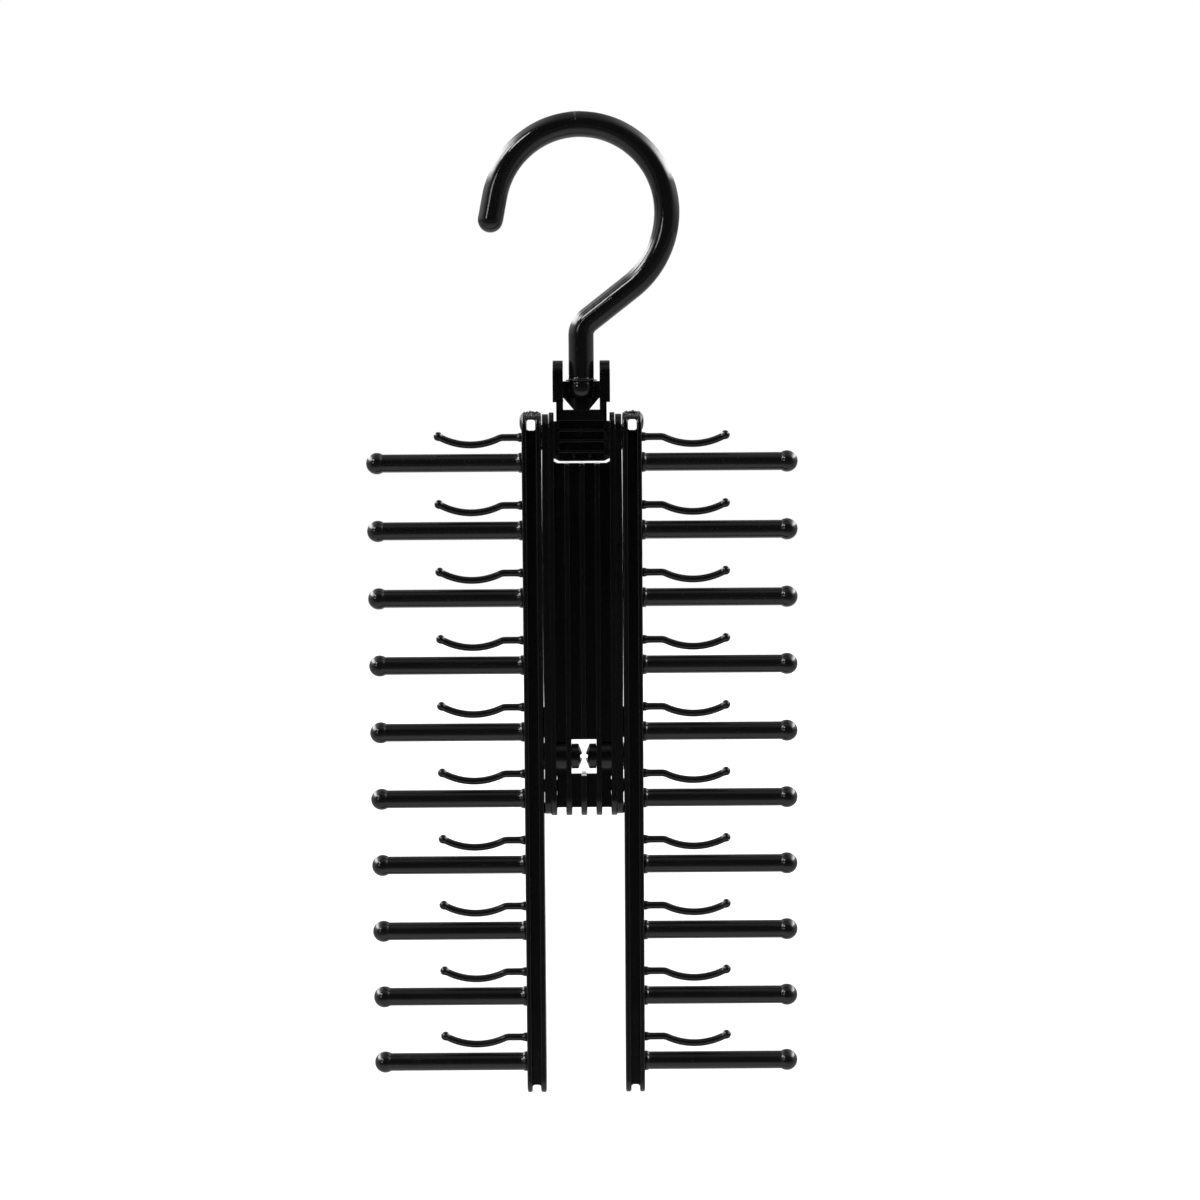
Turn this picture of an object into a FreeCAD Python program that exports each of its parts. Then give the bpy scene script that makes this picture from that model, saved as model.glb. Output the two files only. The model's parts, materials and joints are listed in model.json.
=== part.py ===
import FreeCAD, Part
import math
import os
import re

import Sketcher
from FreeCAD import Placement, Rotation, Vector

# A tie hanger of moulded plastic: a swivelling hook in a tilting yoke, a ribbed spine, and two racks that
# swing on the spine's pivots. X runs to the right, Y to the back and Z up, in millimetres. The origin is
# the underside of the hook's crown, where the wardrobe rail bears. A "drop" is a distance below it.
SIZES = {
    # Hook: a bent round rod with a flared foot, and a necked ball below it
    "rod_diameter": 8.8,
    "seat_radius": 25.6,
    "belly_radius": 32.6,
    "slope_angle": 37.8,
    "kink_radius": 6.5,
    "tip_angle": 79,
    "tip_length": 8.4,
    "foot_diameter": 9.4,
    "foot_height": 4,
    "foot_gap": 0.1,
    "neck_diameter": 6.4,
    "ball_diameter": 9.6,
    "ball_depth": 2.1,
    # Yoke: a ball socket between two ears, on a finned knuckle
    "socket_drop": 83.85,
    "socket_gap": 0.08,
    "neck_gap": 0.3,
    "mouth_width": 8.7,
    "mouth_lip": 1.2,
    "boss_diameter": 12.3,
    "boss_height": 5.85,
    "bridge_depth": 7,
    "funnel_height": 4,
    "funnel_foot": 5.5,
    "ear_spacing": 12.7,
    "ear_thickness": 3.6,
    "ear_rise": 7.2,
    "ear_skirt": 7.25,
    "arm_thickness": 2.4,
    "shoulder_height": 3.9,
    "hinge_below": 9.6,
    "knuckle_radius": 8.4,
    "knuckle_bevel": 1.2,
    "side_gap": 0.12,
    "fin_below": 3.3,
    "fin_pitch": 3.7,
    "fin_thickness": 1,
    "pocket_wall": 1,
    "core_thickness": 5.4,
    # Hinge pins: flat-headed pins through plate and fork into the knuckle
    "pin_diameter": 4,
    "pin_reach": 5.6,
    "pin_head_diameter": 9,
    "pin_head_height": 0.25,
    # Spine: ribs on a web, with a fork above and pivot tubes below
    "spine_depth": 10.8,
    "rib_pitch": 5.3,
    "rib_thickness": 1.8,
    "fork_rise": 8.7,
    "web_thickness": 2,
    "web_gap": 0.6,
    "spine_tail": 21.1,
    "web_inset": 2.9,
    "tube_diameter": 10.4,
    "window_above": 6.2,
    "window_below": 6.4,
    "slot_width": 0.5,
    "slot_height": 6.7,
    # Side plates: thin strips on a spacer strip and rings, with rubbing pads outside
    "plate_gap": 0.5,
    "plate_thickness": 1.8,
    "spacer_inset": 4.5,
    "pad_height": 0.25,
    "pad_length": 11,
    "pad_width": 6,
    "pad_rise": 12.1,
    "snap_diameter": 4.2,
    "snap_head_diameter": 4.8,
    "snap_drop": 10.4,
    # Rack bars: two flanges and a web, with an eyelet at the top
    "rack_gap": 0.4,
    "rack_depth": 10.8,
    "rack_width": 6.7,
    "rack_reach": 121,
    "inner_flange": 1.9,
    "outer_flange": 1.8,
    "rack_web": 2,
    "rack_notch": 2.7,
    "eyelet_height": 3.8,
    "eyelet_wall": 2.5,
    # Pivot studs: shouldered snap studs with a slotted, split tip
    "stud_diameter": 7.4,
    "stud_spigot": 5,
    "stud_shoulder": 9.5,
    "shoulder_gap": 0.1,
    "barb_diameter": 8.8,
    "barb_gap": 0.1,
    "barb_length": 2.4,
    "nose_length": 1.35,
    "nose_diameter": 2,
    "nose_slot_height": 1.8,
    "nose_slot_depth": 0.75,
    "split_width": 1.4,
    "split_depth": 6,
    # Tie pegs: plain rods with a collar at the root and a ball end
    "peg_top_inset": 17.5,
    "peg_foot_inset": 11.2,
    "peg_diameter": 6.3,
    "peg_ball": 7.5,
    "peg_reach": 54.4,
    "peg_spigot": 4.4,
    "collar_diameter": 7,
    "collar_length": 0.9,
    "collar_taper": 0.5,
    # Belt hooks: thin arms that dip in a shallow bow to a small ball
    "belt_above": 8.8,
    "belt_diameter": 2.5,
    "belt_straight": 6.5,
    "belt_kink": 4,
    "belt_bow": 22.9,
    "belt_sag": 2.5,
    "belt_lift": 0.5,
    "belt_ball": 3.2,
    "belt_spigot": 2,
    "belt_collar": 3.2,
    "belt_collar_length": 1,
    # Fits: radial gap of a turning pin, of a pushed-in pin, and how far a cut runs past its face
    "running_gap": 0.05,
    "push_gap": 0.02,
    "overrun": 1,
}

PEG_COUNT = 10
FIN_COUNT = 4

# Places that follow from the sizes
PLACES = {
    "foot_drop": "socket_drop - foot_gap",
    "ball_drop": "socket_drop + ball_depth",
    "crown_radius": "seat_radius + rod_diameter / 2",
    "funnel_drop": "socket_drop + boss_height",
    "block_drop": "funnel_drop + funnel_height",
    "hinge_drop": "block_drop + hinge_below",
    "knuckle_drop": "hinge_drop + knuckle_radius",
    "web_drop": "knuckle_drop + web_gap",
    "fork_drop": "hinge_drop - fork_rise",
    "rack_top": "fork_drop",
    "pivot_drop": "rack_top + rack_reach",
    "tail_drop": "pivot_drop + spine_tail",
    "rack_bottom": "pivot_drop + rack_reach",
    "first_peg": "rack_reach - peg_top_inset",
    "peg_pitch": f"(first_peg + rack_reach - peg_foot_inset) / {PEG_COUNT - 1}",
    "spine_half": "spine_depth / 2",
    "rack_half": "rack_depth / 2",
    "ear_inner": "ear_spacing / 2",
    "arm_outer": "ear_inner + arm_thickness",
    "fork_inner": "2 * rib_pitch - rib_thickness / 2",
    "fork_outer": "2 * rib_pitch + rib_thickness / 2",
    "knuckle_half": "fork_inner - side_gap",
    "plate_inner": "fork_outer + plate_gap",
    "plate_outer": "plate_inner + plate_thickness",
    "rack_inner": "plate_outer + rack_gap",
    "rack_outer": "rack_inner + rack_width",
    "window_half": "rib_pitch - rib_thickness / 2",
    "nose_start": "window_half - barb_gap - barb_length",
    "nose_end": "nose_start - nose_length",
    "bow_reach": "sqrt(belt_sag * (2 * (belt_bow + belt_kink) - belt_sag))",
    "bow_rise": "belt_bow - belt_sag",
    "lift_reach": "sqrt(belt_bow ^ 2 - (bow_rise - belt_lift) ^ 2)",
}

SIDEWAYS = Vector(1, 0, 0)
INWARDS = Vector(0, 1, 0)
ALONG_X = Rotation(INWARDS, 90)
FACING_FRONT = Rotation(SIDEWAYS, 90)
FACING_RIGHT = Rotation(Vector(1, 1, 1), 120)
BEVEL_TURN = Rotation(INWARDS, 135)

doc = FreeCAD.newDocument("TieHanger")
pieces = []


def ex(formula):
    """A formula in sheet names, written as references to the cells that hold them."""

    def cell(match):
        word = match[0]
        if word in SIZES:
            return f"Sizes.{word}"
        return f"Places.{word}" if word in PLACES else word

    return re.sub(r"[a-z_]+", cell, formula)


def make_sheet(name, values):
    sheet = doc.addObject("Spreadsheet::Sheet", name)
    for row, (alias, content) in enumerate(values.items(), start=1):
        sheet.set(f"A{row}", alias)
        sheet.set(f"B{row}", content)
        sheet.setAlias(f"B{row}", alias)
    doc.recompute()
    return sheet


size_sheet = make_sheet("Sizes", {alias: str(value) for alias, value in SIZES.items()})
place_sheet = make_sheet("Places", {alias: "=" + ex(formula) for alias, formula in PLACES.items()})


def number(name):
    """The present value of a named size or place."""
    sheet = size_sheet if name in SIZES else place_sheet
    return float(sheet.get(name))


def bind(feature, **formulas):
    for target, formula in formulas.items():
        feature.setExpression(target, ex(formula))


def put(feature, x="0", y="0", z="0"):
    """Ties a feature's place to formulas."""
    for axis, formula in zip("xyz", (x, y, z)):
        feature.setExpression(f"Placement.Base.{axis}", ex(formula))
    return feature


def block(name, x, y, z):
    """A box between three pairs of formulas."""
    box = doc.addObject("Part::Box", name)
    sides = [f"({high}) - ({low})" for low, high in (x, y, z)]
    bind(box, Length=sides[0], Width=sides[1], Height=sides[2])
    return put(box, x[0], y[0], z[0])


def rod(name, diameter, span, z=None, end=None):
    """A round bar, tapered where an end diameter is given: along X at height z, or upright without z."""
    bar = doc.addObject("Part::Cone" if end else "Part::Cylinder", name)
    bind(bar, Height=f"({span[1]}) - ({span[0]})")
    if end:
        bind(bar, Radius1=f"({diameter}) / 2", Radius2=f"({end}) / 2")
    else:
        bind(bar, Radius=f"({diameter}) / 2")
    if z is None:
        return put(bar, z=span[0])
    bar.Placement = Placement(Vector(), ALONG_X)
    return put(bar, x=span[0], z=z)


def ball(name, diameter, x, z):
    sphere = doc.addObject("Part::Sphere", name)
    bind(sphere, Radius=f"({diameter}) / 2")
    return put(sphere, x=x, z=z)


def fuse(name, *shapes):
    union = doc.addObject("Part::MultiFuse", name)
    union.Shapes = list(shapes)
    union.Refine = True
    return union


def cut(name, base, *tools):
    remainder = doc.addObject("Part::Cut", name)
    remainder.Base = base
    remainder.Tool = tools[0] if len(tools) == 1 else fuse(f"{name}_cuts", *tools)
    remainder.Refine = True
    return remainder


def common(name, one, other):
    overlap = doc.addObject("Part::Common", name)
    overlap.Base = one
    overlap.Tool = other
    return overlap


def mirror(name, source):
    """The same thing on the other side of the hanger."""
    image = doc.addObject("Part::Mirroring", name)
    image.Source = source
    image.Normal = SIDEWAYS
    return image


def keep(piece):
    pieces.append(piece)
    return piece


def keep_pair(right):
    """Keeps a right-hand piece and its left-hand image."""
    keep(right)
    keep(mirror(right.Name.replace("right", "left"), right))


def measure(sketch, kind, where, name):
    """A sketch dimension that follows a named size or place."""
    value = number(name)
    if kind == "Angle":
        value = math.radians(value)
    index = sketch.addConstraint(Sketcher.Constraint(kind, *where, value))
    sketch.renameConstraint(index, f"{name}_{index}")
    sketch.setExpression(f"Constraints.{name}_{index}", ex(name))


def relate(sketch, *relations):
    for relation in relations:
        sketch.addConstraint(Sketcher.Constraint(*relation))


def flat_bar(name, x, half_depth, top, bottom):
    """An upright strip with full-round ends, between two formulas for its faces."""
    half, upper, lower = number(half_depth), -number(top), -number(bottom)
    outline = doc.addObject("Sketcher::SketchObject", f"{name}_outline")
    outline.Placement = Placement(Vector(), FACING_RIGHT)
    flat = Vector(0, 0, 1)
    high = Part.Circle(Vector(0, upper - half, 0), flat, half)
    low = Part.Circle(Vector(0, lower + half, 0), flat, half)
    outline.addGeometry([
        Part.LineSegment(Vector(half, lower + half, 0), Vector(half, upper - half, 0)),
        Part.ArcOfCircle(high, 0, math.pi),
        Part.LineSegment(Vector(-half, upper - half, 0), Vector(-half, lower + half, 0)),
        Part.ArcOfCircle(low, math.pi, math.tau),
    ])
    ends = [("Tangent", side, 2, (side + 1) % 4, 1) for side in range(4)]
    relate(outline, *ends, ("Vertical", 0), ("Vertical", 2), ("PointOnObject", 1, 3, -2))
    measure(outline, "Radius", (1,), half_depth)
    for arc, drop, sign in ((1, top, "+"), (3, bottom, "-")):
        index = outline.addConstraint(Sketcher.Constraint("DistanceY", arc, 3, -1, 1, number(drop)))
        outline.renameConstraint(index, f"{drop}_{index}")
        outline.setExpression(f"Constraints.{drop}_{index}", ex(f"{drop} {sign} {half_depth}"))
    strip = doc.addObject("Part::Extrusion", name)
    strip.Base = outline
    strip.DirMode = "Normal"
    strip.Solid = True
    bind(strip, LengthFwd=f"({x[1]}) - ({x[0]})")
    put(outline, x=x[0])
    return strip


def sweep(name, path, diameter, **place):
    """A round section of a given diameter carried along a sketched path from its first point."""
    section = doc.addObject("Part::Circle", f"{name}_section")
    bind(section, Radius=f"({diameter}) / 2")
    if "x" in place:
        section.Placement = Placement(Vector(), ALONG_X)
    put(section, **place)
    tube = doc.addObject("Part::Sweep", name)
    tube.Sections = [section]
    tube.Spine = (path, [f"Edge{edge}" for edge in range(1, path.GeometryCount + 1)])
    tube.Solid = True
    return tube


def hook_path():
    """Stem, kink, slope, belly arc, crown arc and tip, tangent to each other in the front plane."""
    seat, crown, belly = number("seat_radius"), number("crown_radius"), number("belly_radius")
    kink, slope = number("kink_radius"), math.radians(number("slope_angle"))
    tip = math.radians(number("tip_angle"))
    turn = math.pi / 2 - slope
    flat = Vector(0, 0, 1)

    def at(centre_x, centre_z, radius, angle):
        return Vector(centre_x + radius * math.cos(angle), centre_z + radius * math.sin(angle), 0)

    slope_end = at(crown - belly, -seat, belly, -turn)
    corner = Vector(0, slope_end.y - slope_end.x * math.tan(slope), 0)
    setback = kink * math.tan(turn / 2)
    stem_end = corner - Vector(0, setback, 0)
    slope_start = corner + Vector(setback * math.cos(slope), setback * math.sin(slope), 0)
    crown_end = at(0, -seat, crown, tip + math.pi / 2)
    tip_end = at(crown_end.x, crown_end.y, number("tip_length"), tip + math.pi)

    path = doc.addObject("Sketcher::SketchObject", "hook_path")
    path.Placement = Placement(Vector(), FACING_FRONT)
    path.addGeometry([
        Part.LineSegment(Vector(0, -number("foot_drop"), 0), stem_end),
        Part.ArcOfCircle(Part.Circle(stem_end + Vector(kink, 0, 0), flat, kink), math.pi - turn, math.pi),
        Part.LineSegment(slope_start, slope_end),
        Part.ArcOfCircle(Part.Circle(Vector(crown - belly, -seat, 0), flat, belly), -turn, 0),
        Part.ArcOfCircle(Part.Circle(Vector(0, -seat, 0), flat, crown), 0, tip + math.pi / 2),
        Part.LineSegment(tip_end, crown_end),
    ])
    relate(
        path,
        ("PointOnObject", 0, 1, -2),
        ("Vertical", 0),
        ("Tangent", 0, 2, 1, 2),
        ("Tangent", 1, 1, 2, 1),
        ("Tangent", 2, 2, 3, 1),
        ("Tangent", 3, 2, 4, 1),
        ("Tangent", 4, 2, 5, 2),
        ("PointOnObject", 4, 3, -2),
        ("Horizontal", 3, 3, 4, 3),
    )
    measure(path, "DistanceY", (0, 1, -1, 1), "foot_drop")
    measure(path, "Radius", (1,), "kink_radius")
    measure(path, "Angle", (2,), "slope_angle")
    measure(path, "Radius", (3,), "belly_radius")
    measure(path, "Radius", (4,), "crown_radius")
    measure(path, "DistanceY", (4, 3, -1, 1), "seat_radius")
    measure(path, "Angle", (5,), "tip_angle")
    measure(path, "Distance", (5,), "tip_length")
    return path


def hook():
    """One bent rod, rounded at the tip, with the necked ball that snaps into the yoke."""
    bend = sweep("hook_rod", hook_path(), "rod_diameter", z="-foot_drop")
    sine, cosine = "sin(tip_angle * 1deg)", "cos(tip_angle * 1deg)"
    tip_x = f"-crown_radius * {sine} - tip_length * {cosine}"
    tip_z = f"crown_radius * {cosine} - tip_length * {sine} - seat_radius"
    tip = ball("hook_tip", "rod_diameter", tip_x, tip_z)
    foot_span = ("-foot_drop", "-foot_drop + foot_height")
    foot = rod("hook_foot", "foot_diameter", foot_span, end="rod_diameter")
    neck = rod("hook_neck", "neck_diameter", ("-ball_drop", "-foot_drop"))
    head = ball("hook_ball", "ball_diameter", "0", "-ball_drop")
    keep(fuse("hook", bend, tip, foot, neck, head))


def yoke():
    """Ears, bridge and funnel-shaped socket on a knuckle with finned faces."""
    deep = ("-spine_half", "spine_half")
    ear_top = "-socket_drop + ear_rise"
    ear_foot = "-socket_drop - ear_skirt"
    ear_span = ("ear_inner", "ear_inner + ear_thickness")
    ear_crown = rod("ear_crown", "spine_depth", ear_span, f"{ear_top} - spine_half")
    ear_plate = block("ear_plate", ear_span, deep, (ear_foot, f"{ear_top} - spine_half"))
    arm = block("ear_arm", ("ear_inner", "arm_outer"), deep, ("-block_drop", ear_foot))
    right_ear = fuse("right_ear", ear_crown, ear_plate, arm)
    left_ear = mirror("left_ear", right_ear)
    bridge_end = "ear_inner + ear_thickness / 2"
    bridge_deep = ("-bridge_depth / 2", "bridge_depth / 2")
    bridge_rows = ("-funnel_drop", "-socket_drop")
    bridge = block("socket_bridge", (f"-({bridge_end})", bridge_end), bridge_deep, bridge_rows)
    boss = rod("socket_boss", "boss_diameter", bridge_rows)
    funnel_rows = ("-block_drop", "-funnel_drop")
    funnel_cone = rod("funnel_cone", "funnel_foot", funnel_rows, end="boss_diameter")
    funnel_slab = block("funnel_slab", ("-ear_inner", "ear_inner"), bridge_deep, funnel_rows)
    funnel = common("socket_funnel", funnel_cone, funnel_slab)
    neck = block("yoke_neck", ("-arm_outer", "arm_outer"), deep, ("-hinge_drop", "-block_drop"))
    knuckle_span = ("-knuckle_half", "knuckle_half")
    barrel = rod("knuckle_barrel", "2 * knuckle_radius", knuckle_span, "-hinge_drop")
    slab = block("knuckle_slab", knuckle_span, deep, ("-knuckle_drop", "-block_drop - shoulder_height"))
    knuckle = common("knuckle", barrel, slab)
    body = fuse("yoke_body", right_ear, left_ear, bridge, boss, funnel, neck, knuckle)
    keep(cut("yoke", body, *socket_cuts(), *pocket_cuts(), *knuckle_cuts()))


def socket_cuts():
    """The ball's seat, the neck's hole above it, and the mouth in front that the ball snaps through."""
    seat = ball("ball_seat", "ball_diameter + 2 * socket_gap", "0", "-ball_drop")
    hole_diameter = "neck_diameter + 2 * neck_gap"
    hole = rod("neck_hole", hole_diameter, ("-ball_drop", "-socket_drop + overrun"))
    front = ("-boss_diameter / 2 - overrun", "0")
    mouth_side = "mouth_width / 2"
    mouth_rows = ("-funnel_drop", "-socket_drop - mouth_lip")
    mouth = block("ball_mouth", (f"-{mouth_side}", mouth_side), front, mouth_rows)
    slit_side = f"({hole_diameter}) / 2"
    slit_rows = ("-ball_drop", "-socket_drop + overrun")
    slit = block("neck_slit", (f"-{slit_side}", slit_side), front, slit_rows)
    return seat, hole, mouth, slit


def pocket_cuts():
    """Recesses between the fins, front and back, with the lowest row divided in three."""
    half = "(arm_outer - pocket_wall)"
    faces = {
        "front": ("-spine_half - overrun", "-core_thickness / 2"),
        "back": ("core_thickness / 2", "spine_half + overrun"),
    }
    cuts = []
    for face, depth in faces.items():
        for row in range(FIN_COUNT):
            top = f"-block_drop - fin_below - {row} * fin_pitch - fin_thickness / 2"
            if row < FIN_COUNT - 1:
                rows = (f"{top} - fin_pitch + fin_thickness", top)
                cuts.append(block(f"pocket_{face}_{row}", (f"-{half}", half), depth, rows))
                continue
            rows = ("-knuckle_drop - overrun", top)
            third = f"(2 * {half} - 2 * fin_thickness) / 3"
            for bay in range(3):
                low = f"-{half} + {bay} * ({third} + fin_thickness)"
                bay_span = (low, f"{low} + {third}")
                cuts.append(block(f"pocket_{face}_{row}_{bay}", bay_span, depth, rows))
    return cuts


def knuckle_cuts():
    """Blind bores for the hinge pins, and the knuckle's bevelled lower corners."""
    bore_span = ("knuckle_half - pin_reach - running_gap", "knuckle_half + overrun")
    bore = rod("pin_bore", "pin_diameter + 2 * running_gap", bore_span, "-hinge_drop")
    bevel = doc.addObject("Part::Box", "knuckle_bevel_cut")
    bevel.Placement = Placement(Vector(), BEVEL_TURN)
    bind(bevel, Length="knuckle_bevel * sqrt(2)", Width="2 * spine_depth", Height="knuckle_bevel")
    put(bevel, "knuckle_half", "-spine_depth", "-knuckle_drop + knuckle_bevel")
    return bore, mirror("pin_bore_left", bore), bevel, mirror("knuckle_bevel_left", bevel)


def hinge_pins():
    """Pins pushed through plate and fork, whose ends turn in the knuckle."""
    head_span = ("plate_outer", "plate_outer + pin_head_height")
    head = rod("pin_head", "pin_head_diameter", head_span, "-hinge_drop")
    shank_span = ("knuckle_half - pin_reach", "plate_outer")
    shank = rod("pin_shank", "pin_diameter", shank_span, "-hinge_drop")
    keep_pair(fuse("right_hinge_pin", head, shank))


def spine():
    """Two fork ribs and three shorter ones on a web, with a tube at each rack pivot."""
    ribs = []
    for place in range(-2, 3):
        low = f"{place} * rib_pitch - rib_thickness / 2"
        top = "fork_drop" if abs(place) == 2 else "web_drop"
        rib_span = (low, f"{low} + rib_thickness")
        ribs.append(flat_bar(f"rib_{place + 3}", rib_span, "spine_half", top, "tail_drop"))
    web = block(
        "spine_web",
        ("-2 * rib_pitch", "2 * rib_pitch"),
        ("-web_thickness / 2", "web_thickness / 2"),
        ("-tail_drop + web_inset", "-web_drop"),
    )
    tube = rod("pivot_tube", "tube_diameter", ("rib_pitch", "2 * rib_pitch"), "-pivot_drop")
    body = fuse("spine_body", *ribs, web, tube, mirror("pivot_tube_left", tube))
    through = ("-fork_outer - overrun", "fork_outer + overrun")
    window = block(
        "pivot_window",
        ("-window_half", "window_half"),
        ("-spine_depth", "spine_depth"),
        ("-pivot_drop - window_below", "-pivot_drop + window_above"),
    )
    bore = rod("pivot_bore", "stud_diameter + 2 * running_gap", through, "-pivot_drop")
    pin_hole = rod("pin_hole", "pin_diameter + 2 * push_gap", through, "-hinge_drop")
    snap_span = ("fork_inner - slot_width", "fork_outer + overrun")
    snap_hole = rod("snap_hole", "snap_diameter + 2 * push_gap", snap_span, "-pivot_drop - snap_drop")
    slot_middle = "-pivot_drop - snap_drop"
    slot = block(
        "snap_slot",
        ("fork_inner - slot_width", "fork_inner"),
        ("-web_thickness", "web_thickness"),
        (f"{slot_middle} - slot_height / 2", f"{slot_middle} + slot_height / 2"),
    )
    pairs = snap_hole, mirror("snap_hole_left", snap_hole), slot, mirror("snap_slot_left", slot)
    keep(cut("spine", body, window, bore, pin_hole, *pairs))


def side_plates():
    """Strips that stand off the fork ribs on a spacer, held by the hinge pin and a snap peg."""
    strip = flat_bar("plate_strip", ("plate_inner", "plate_outer"), "spine_half", "fork_drop", "tail_drop")
    stand_off = ("fork_outer", "plate_inner")
    spacer = block(
        "plate_spacer",
        stand_off,
        ("-web_thickness / 2", "web_thickness / 2"),
        ("-tail_drop + web_inset", "-fork_drop - spacer_inset"),
    )
    pin_ring = rod("pin_ring", "pin_head_diameter", stand_off, "-hinge_drop")
    tube_ring = rod("tube_ring", "tube_diameter", stand_off, "-pivot_drop")
    pad_span = ("plate_outer", "plate_outer + pad_height")
    pad_ends = "(pad_length - pad_width) / 2"
    middle = "-pivot_drop + pad_rise"
    pad = block(
        "pad_middle",
        pad_span,
        ("-pad_width / 2", "pad_width / 2"),
        (f"{middle} - {pad_ends}", f"{middle} + {pad_ends}"),
    )
    pad_top = rod("pad_top", "pad_width", pad_span, f"{middle} + {pad_ends}")
    pad_foot = rod("pad_foot", "pad_width", pad_span, f"{middle} - {pad_ends}")
    snap_z = "-pivot_drop - snap_drop"
    snap = rod("snap_peg", "snap_diameter", ("fork_inner - slot_width / 2", "plate_outer"), snap_z)
    snap_head = rod("snap_head", "snap_head_diameter", pad_span, snap_z)
    inside = (spacer, pin_ring, tube_ring, snap)
    body = fuse("plate_body", strip, *inside, pad, pad_top, pad_foot, snap_head)
    through = ("fork_outer - overrun", "plate_outer + overrun")
    pin_hole = rod("plate_pin_hole", "pin_diameter + 2 * push_gap", through, "-hinge_drop")
    stud_hole = rod("plate_stud_hole", "stud_diameter + 2 * running_gap", through, "-pivot_drop")
    keep_pair(cut("right_side_plate", body, pin_hole, stud_hole))


def peg_height(place):
    """The height of a tie peg's axis, counted from the top."""
    return f"-pivot_drop + first_peg - {place} * peg_pitch"


def rack_bars():
    """Two flanges and a recessed web, open at the foot, with an eyelet below the top wall."""
    ends = ("rack_half", "rack_top", "rack_bottom")
    between = ("rack_inner + inner_flange", "rack_outer - outer_flange")
    inner = flat_bar("flange_inner", ("rack_inner", between[0]), *ends)
    outer = flat_bar("flange_outer", (between[1], "rack_outer"), *ends)
    web_top = "-rack_top - eyelet_wall - eyelet_height"
    web_rows = ("-rack_bottom + rack_notch", web_top)
    web = block("bar_web", between, ("-rack_web / 2", "rack_web / 2"), web_rows)
    filler = flat_bar("eyelet_filler", between, *ends)
    top_rows = ("-rack_top - eyelet_wall", "-rack_top + overrun")
    top_slice = block("eyelet_slice", between, ("-rack_half", "rack_half"), top_rows)
    body = fuse("bar_body", inner, outer, web, common("eyelet_top", filler, top_slice))
    socket_span = (between[1], "rack_outer + overrun")
    sockets = []
    for place in range(PEG_COUNT):
        peg_z = peg_height(place)
        belt_z = f"{peg_z} + belt_above"
        sockets.append(rod(f"peg_socket_{place}", "peg_spigot + 2 * push_gap", socket_span, peg_z))
        sockets.append(rod(f"belt_socket_{place}", "belt_spigot + 2 * push_gap", socket_span, belt_z))
    stud_span = ("rack_inner - overrun", between[0])
    sockets.append(rod("stud_socket", "stud_spigot + 2 * push_gap", stud_span, "-pivot_drop"))
    keep_pair(cut("right_rack_bar", body, *sockets))


def pivot_studs():
    """Shouldered studs pushed into the rack bars, barbed behind the spine's inner ribs."""
    spigot_span = ("rack_inner", "rack_inner + inner_flange")
    spigot = rod("stud_spigot_end", "stud_spigot", spigot_span, "-pivot_drop")
    shoulder_span = ("plate_outer + shoulder_gap", "rack_inner")
    shoulder = rod("stud_shoulder_disc", "stud_shoulder", shoulder_span, "-pivot_drop")
    barb_back = "window_half - barb_gap"
    shank = rod("stud_shank", "stud_diameter", (barb_back, "plate_outer + shoulder_gap"), "-pivot_drop")
    barb = rod("stud_barb", "barb_diameter", ("nose_start", barb_back), "-pivot_drop")
    nose_span = ("nose_end", "nose_start")
    nose = rod("stud_nose", "nose_diameter", nose_span, "-pivot_drop", end="barb_diameter")
    body = fuse("stud_body", spigot, shoulder, shank, barb, nose)
    wide = ("-barb_diameter", "barb_diameter")
    slot = block(
        "nose_slot",
        ("nose_end - overrun", "nose_end + nose_slot_depth"),
        wide,
        ("-pivot_drop - nose_slot_height / 2", "-pivot_drop + nose_slot_height / 2"),
    )
    split = block(
        "stud_split",
        ("nose_end - overrun", "nose_end + split_depth"),
        ("-split_width / 2", "split_width / 2"),
        ("-pivot_drop - barb_diameter", "-pivot_drop + barb_diameter"),
    )
    keep_pair(cut("right_pivot_stud", body, slot, split))


def tie_peg(place):
    """A spigot, a tapered collar, a plain rod and a ball end."""
    name = f"right_tie_peg_{place + 1:02d}"
    height = peg_height(place)
    spigot = rod(f"{name}_spigot", "peg_spigot", ("rack_outer - outer_flange", "rack_outer"), height)
    taper_start = "rack_outer + collar_length"
    collar = rod(f"{name}_collar", "collar_diameter", ("rack_outer", taper_start), height)
    taper_span = (taper_start, f"{taper_start} + collar_taper")
    taper = rod(f"{name}_taper", "collar_diameter", taper_span, height, end="peg_diameter")
    ball_x = "rack_outer + peg_reach - peg_ball / 2"
    shank = rod(f"{name}_shank", "peg_diameter", ("rack_outer", ball_x), height)
    end = ball(f"{name}_end", "peg_ball", ball_x, height)
    keep_pair(fuse(name, spigot, collar, taper, shank, end))


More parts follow.
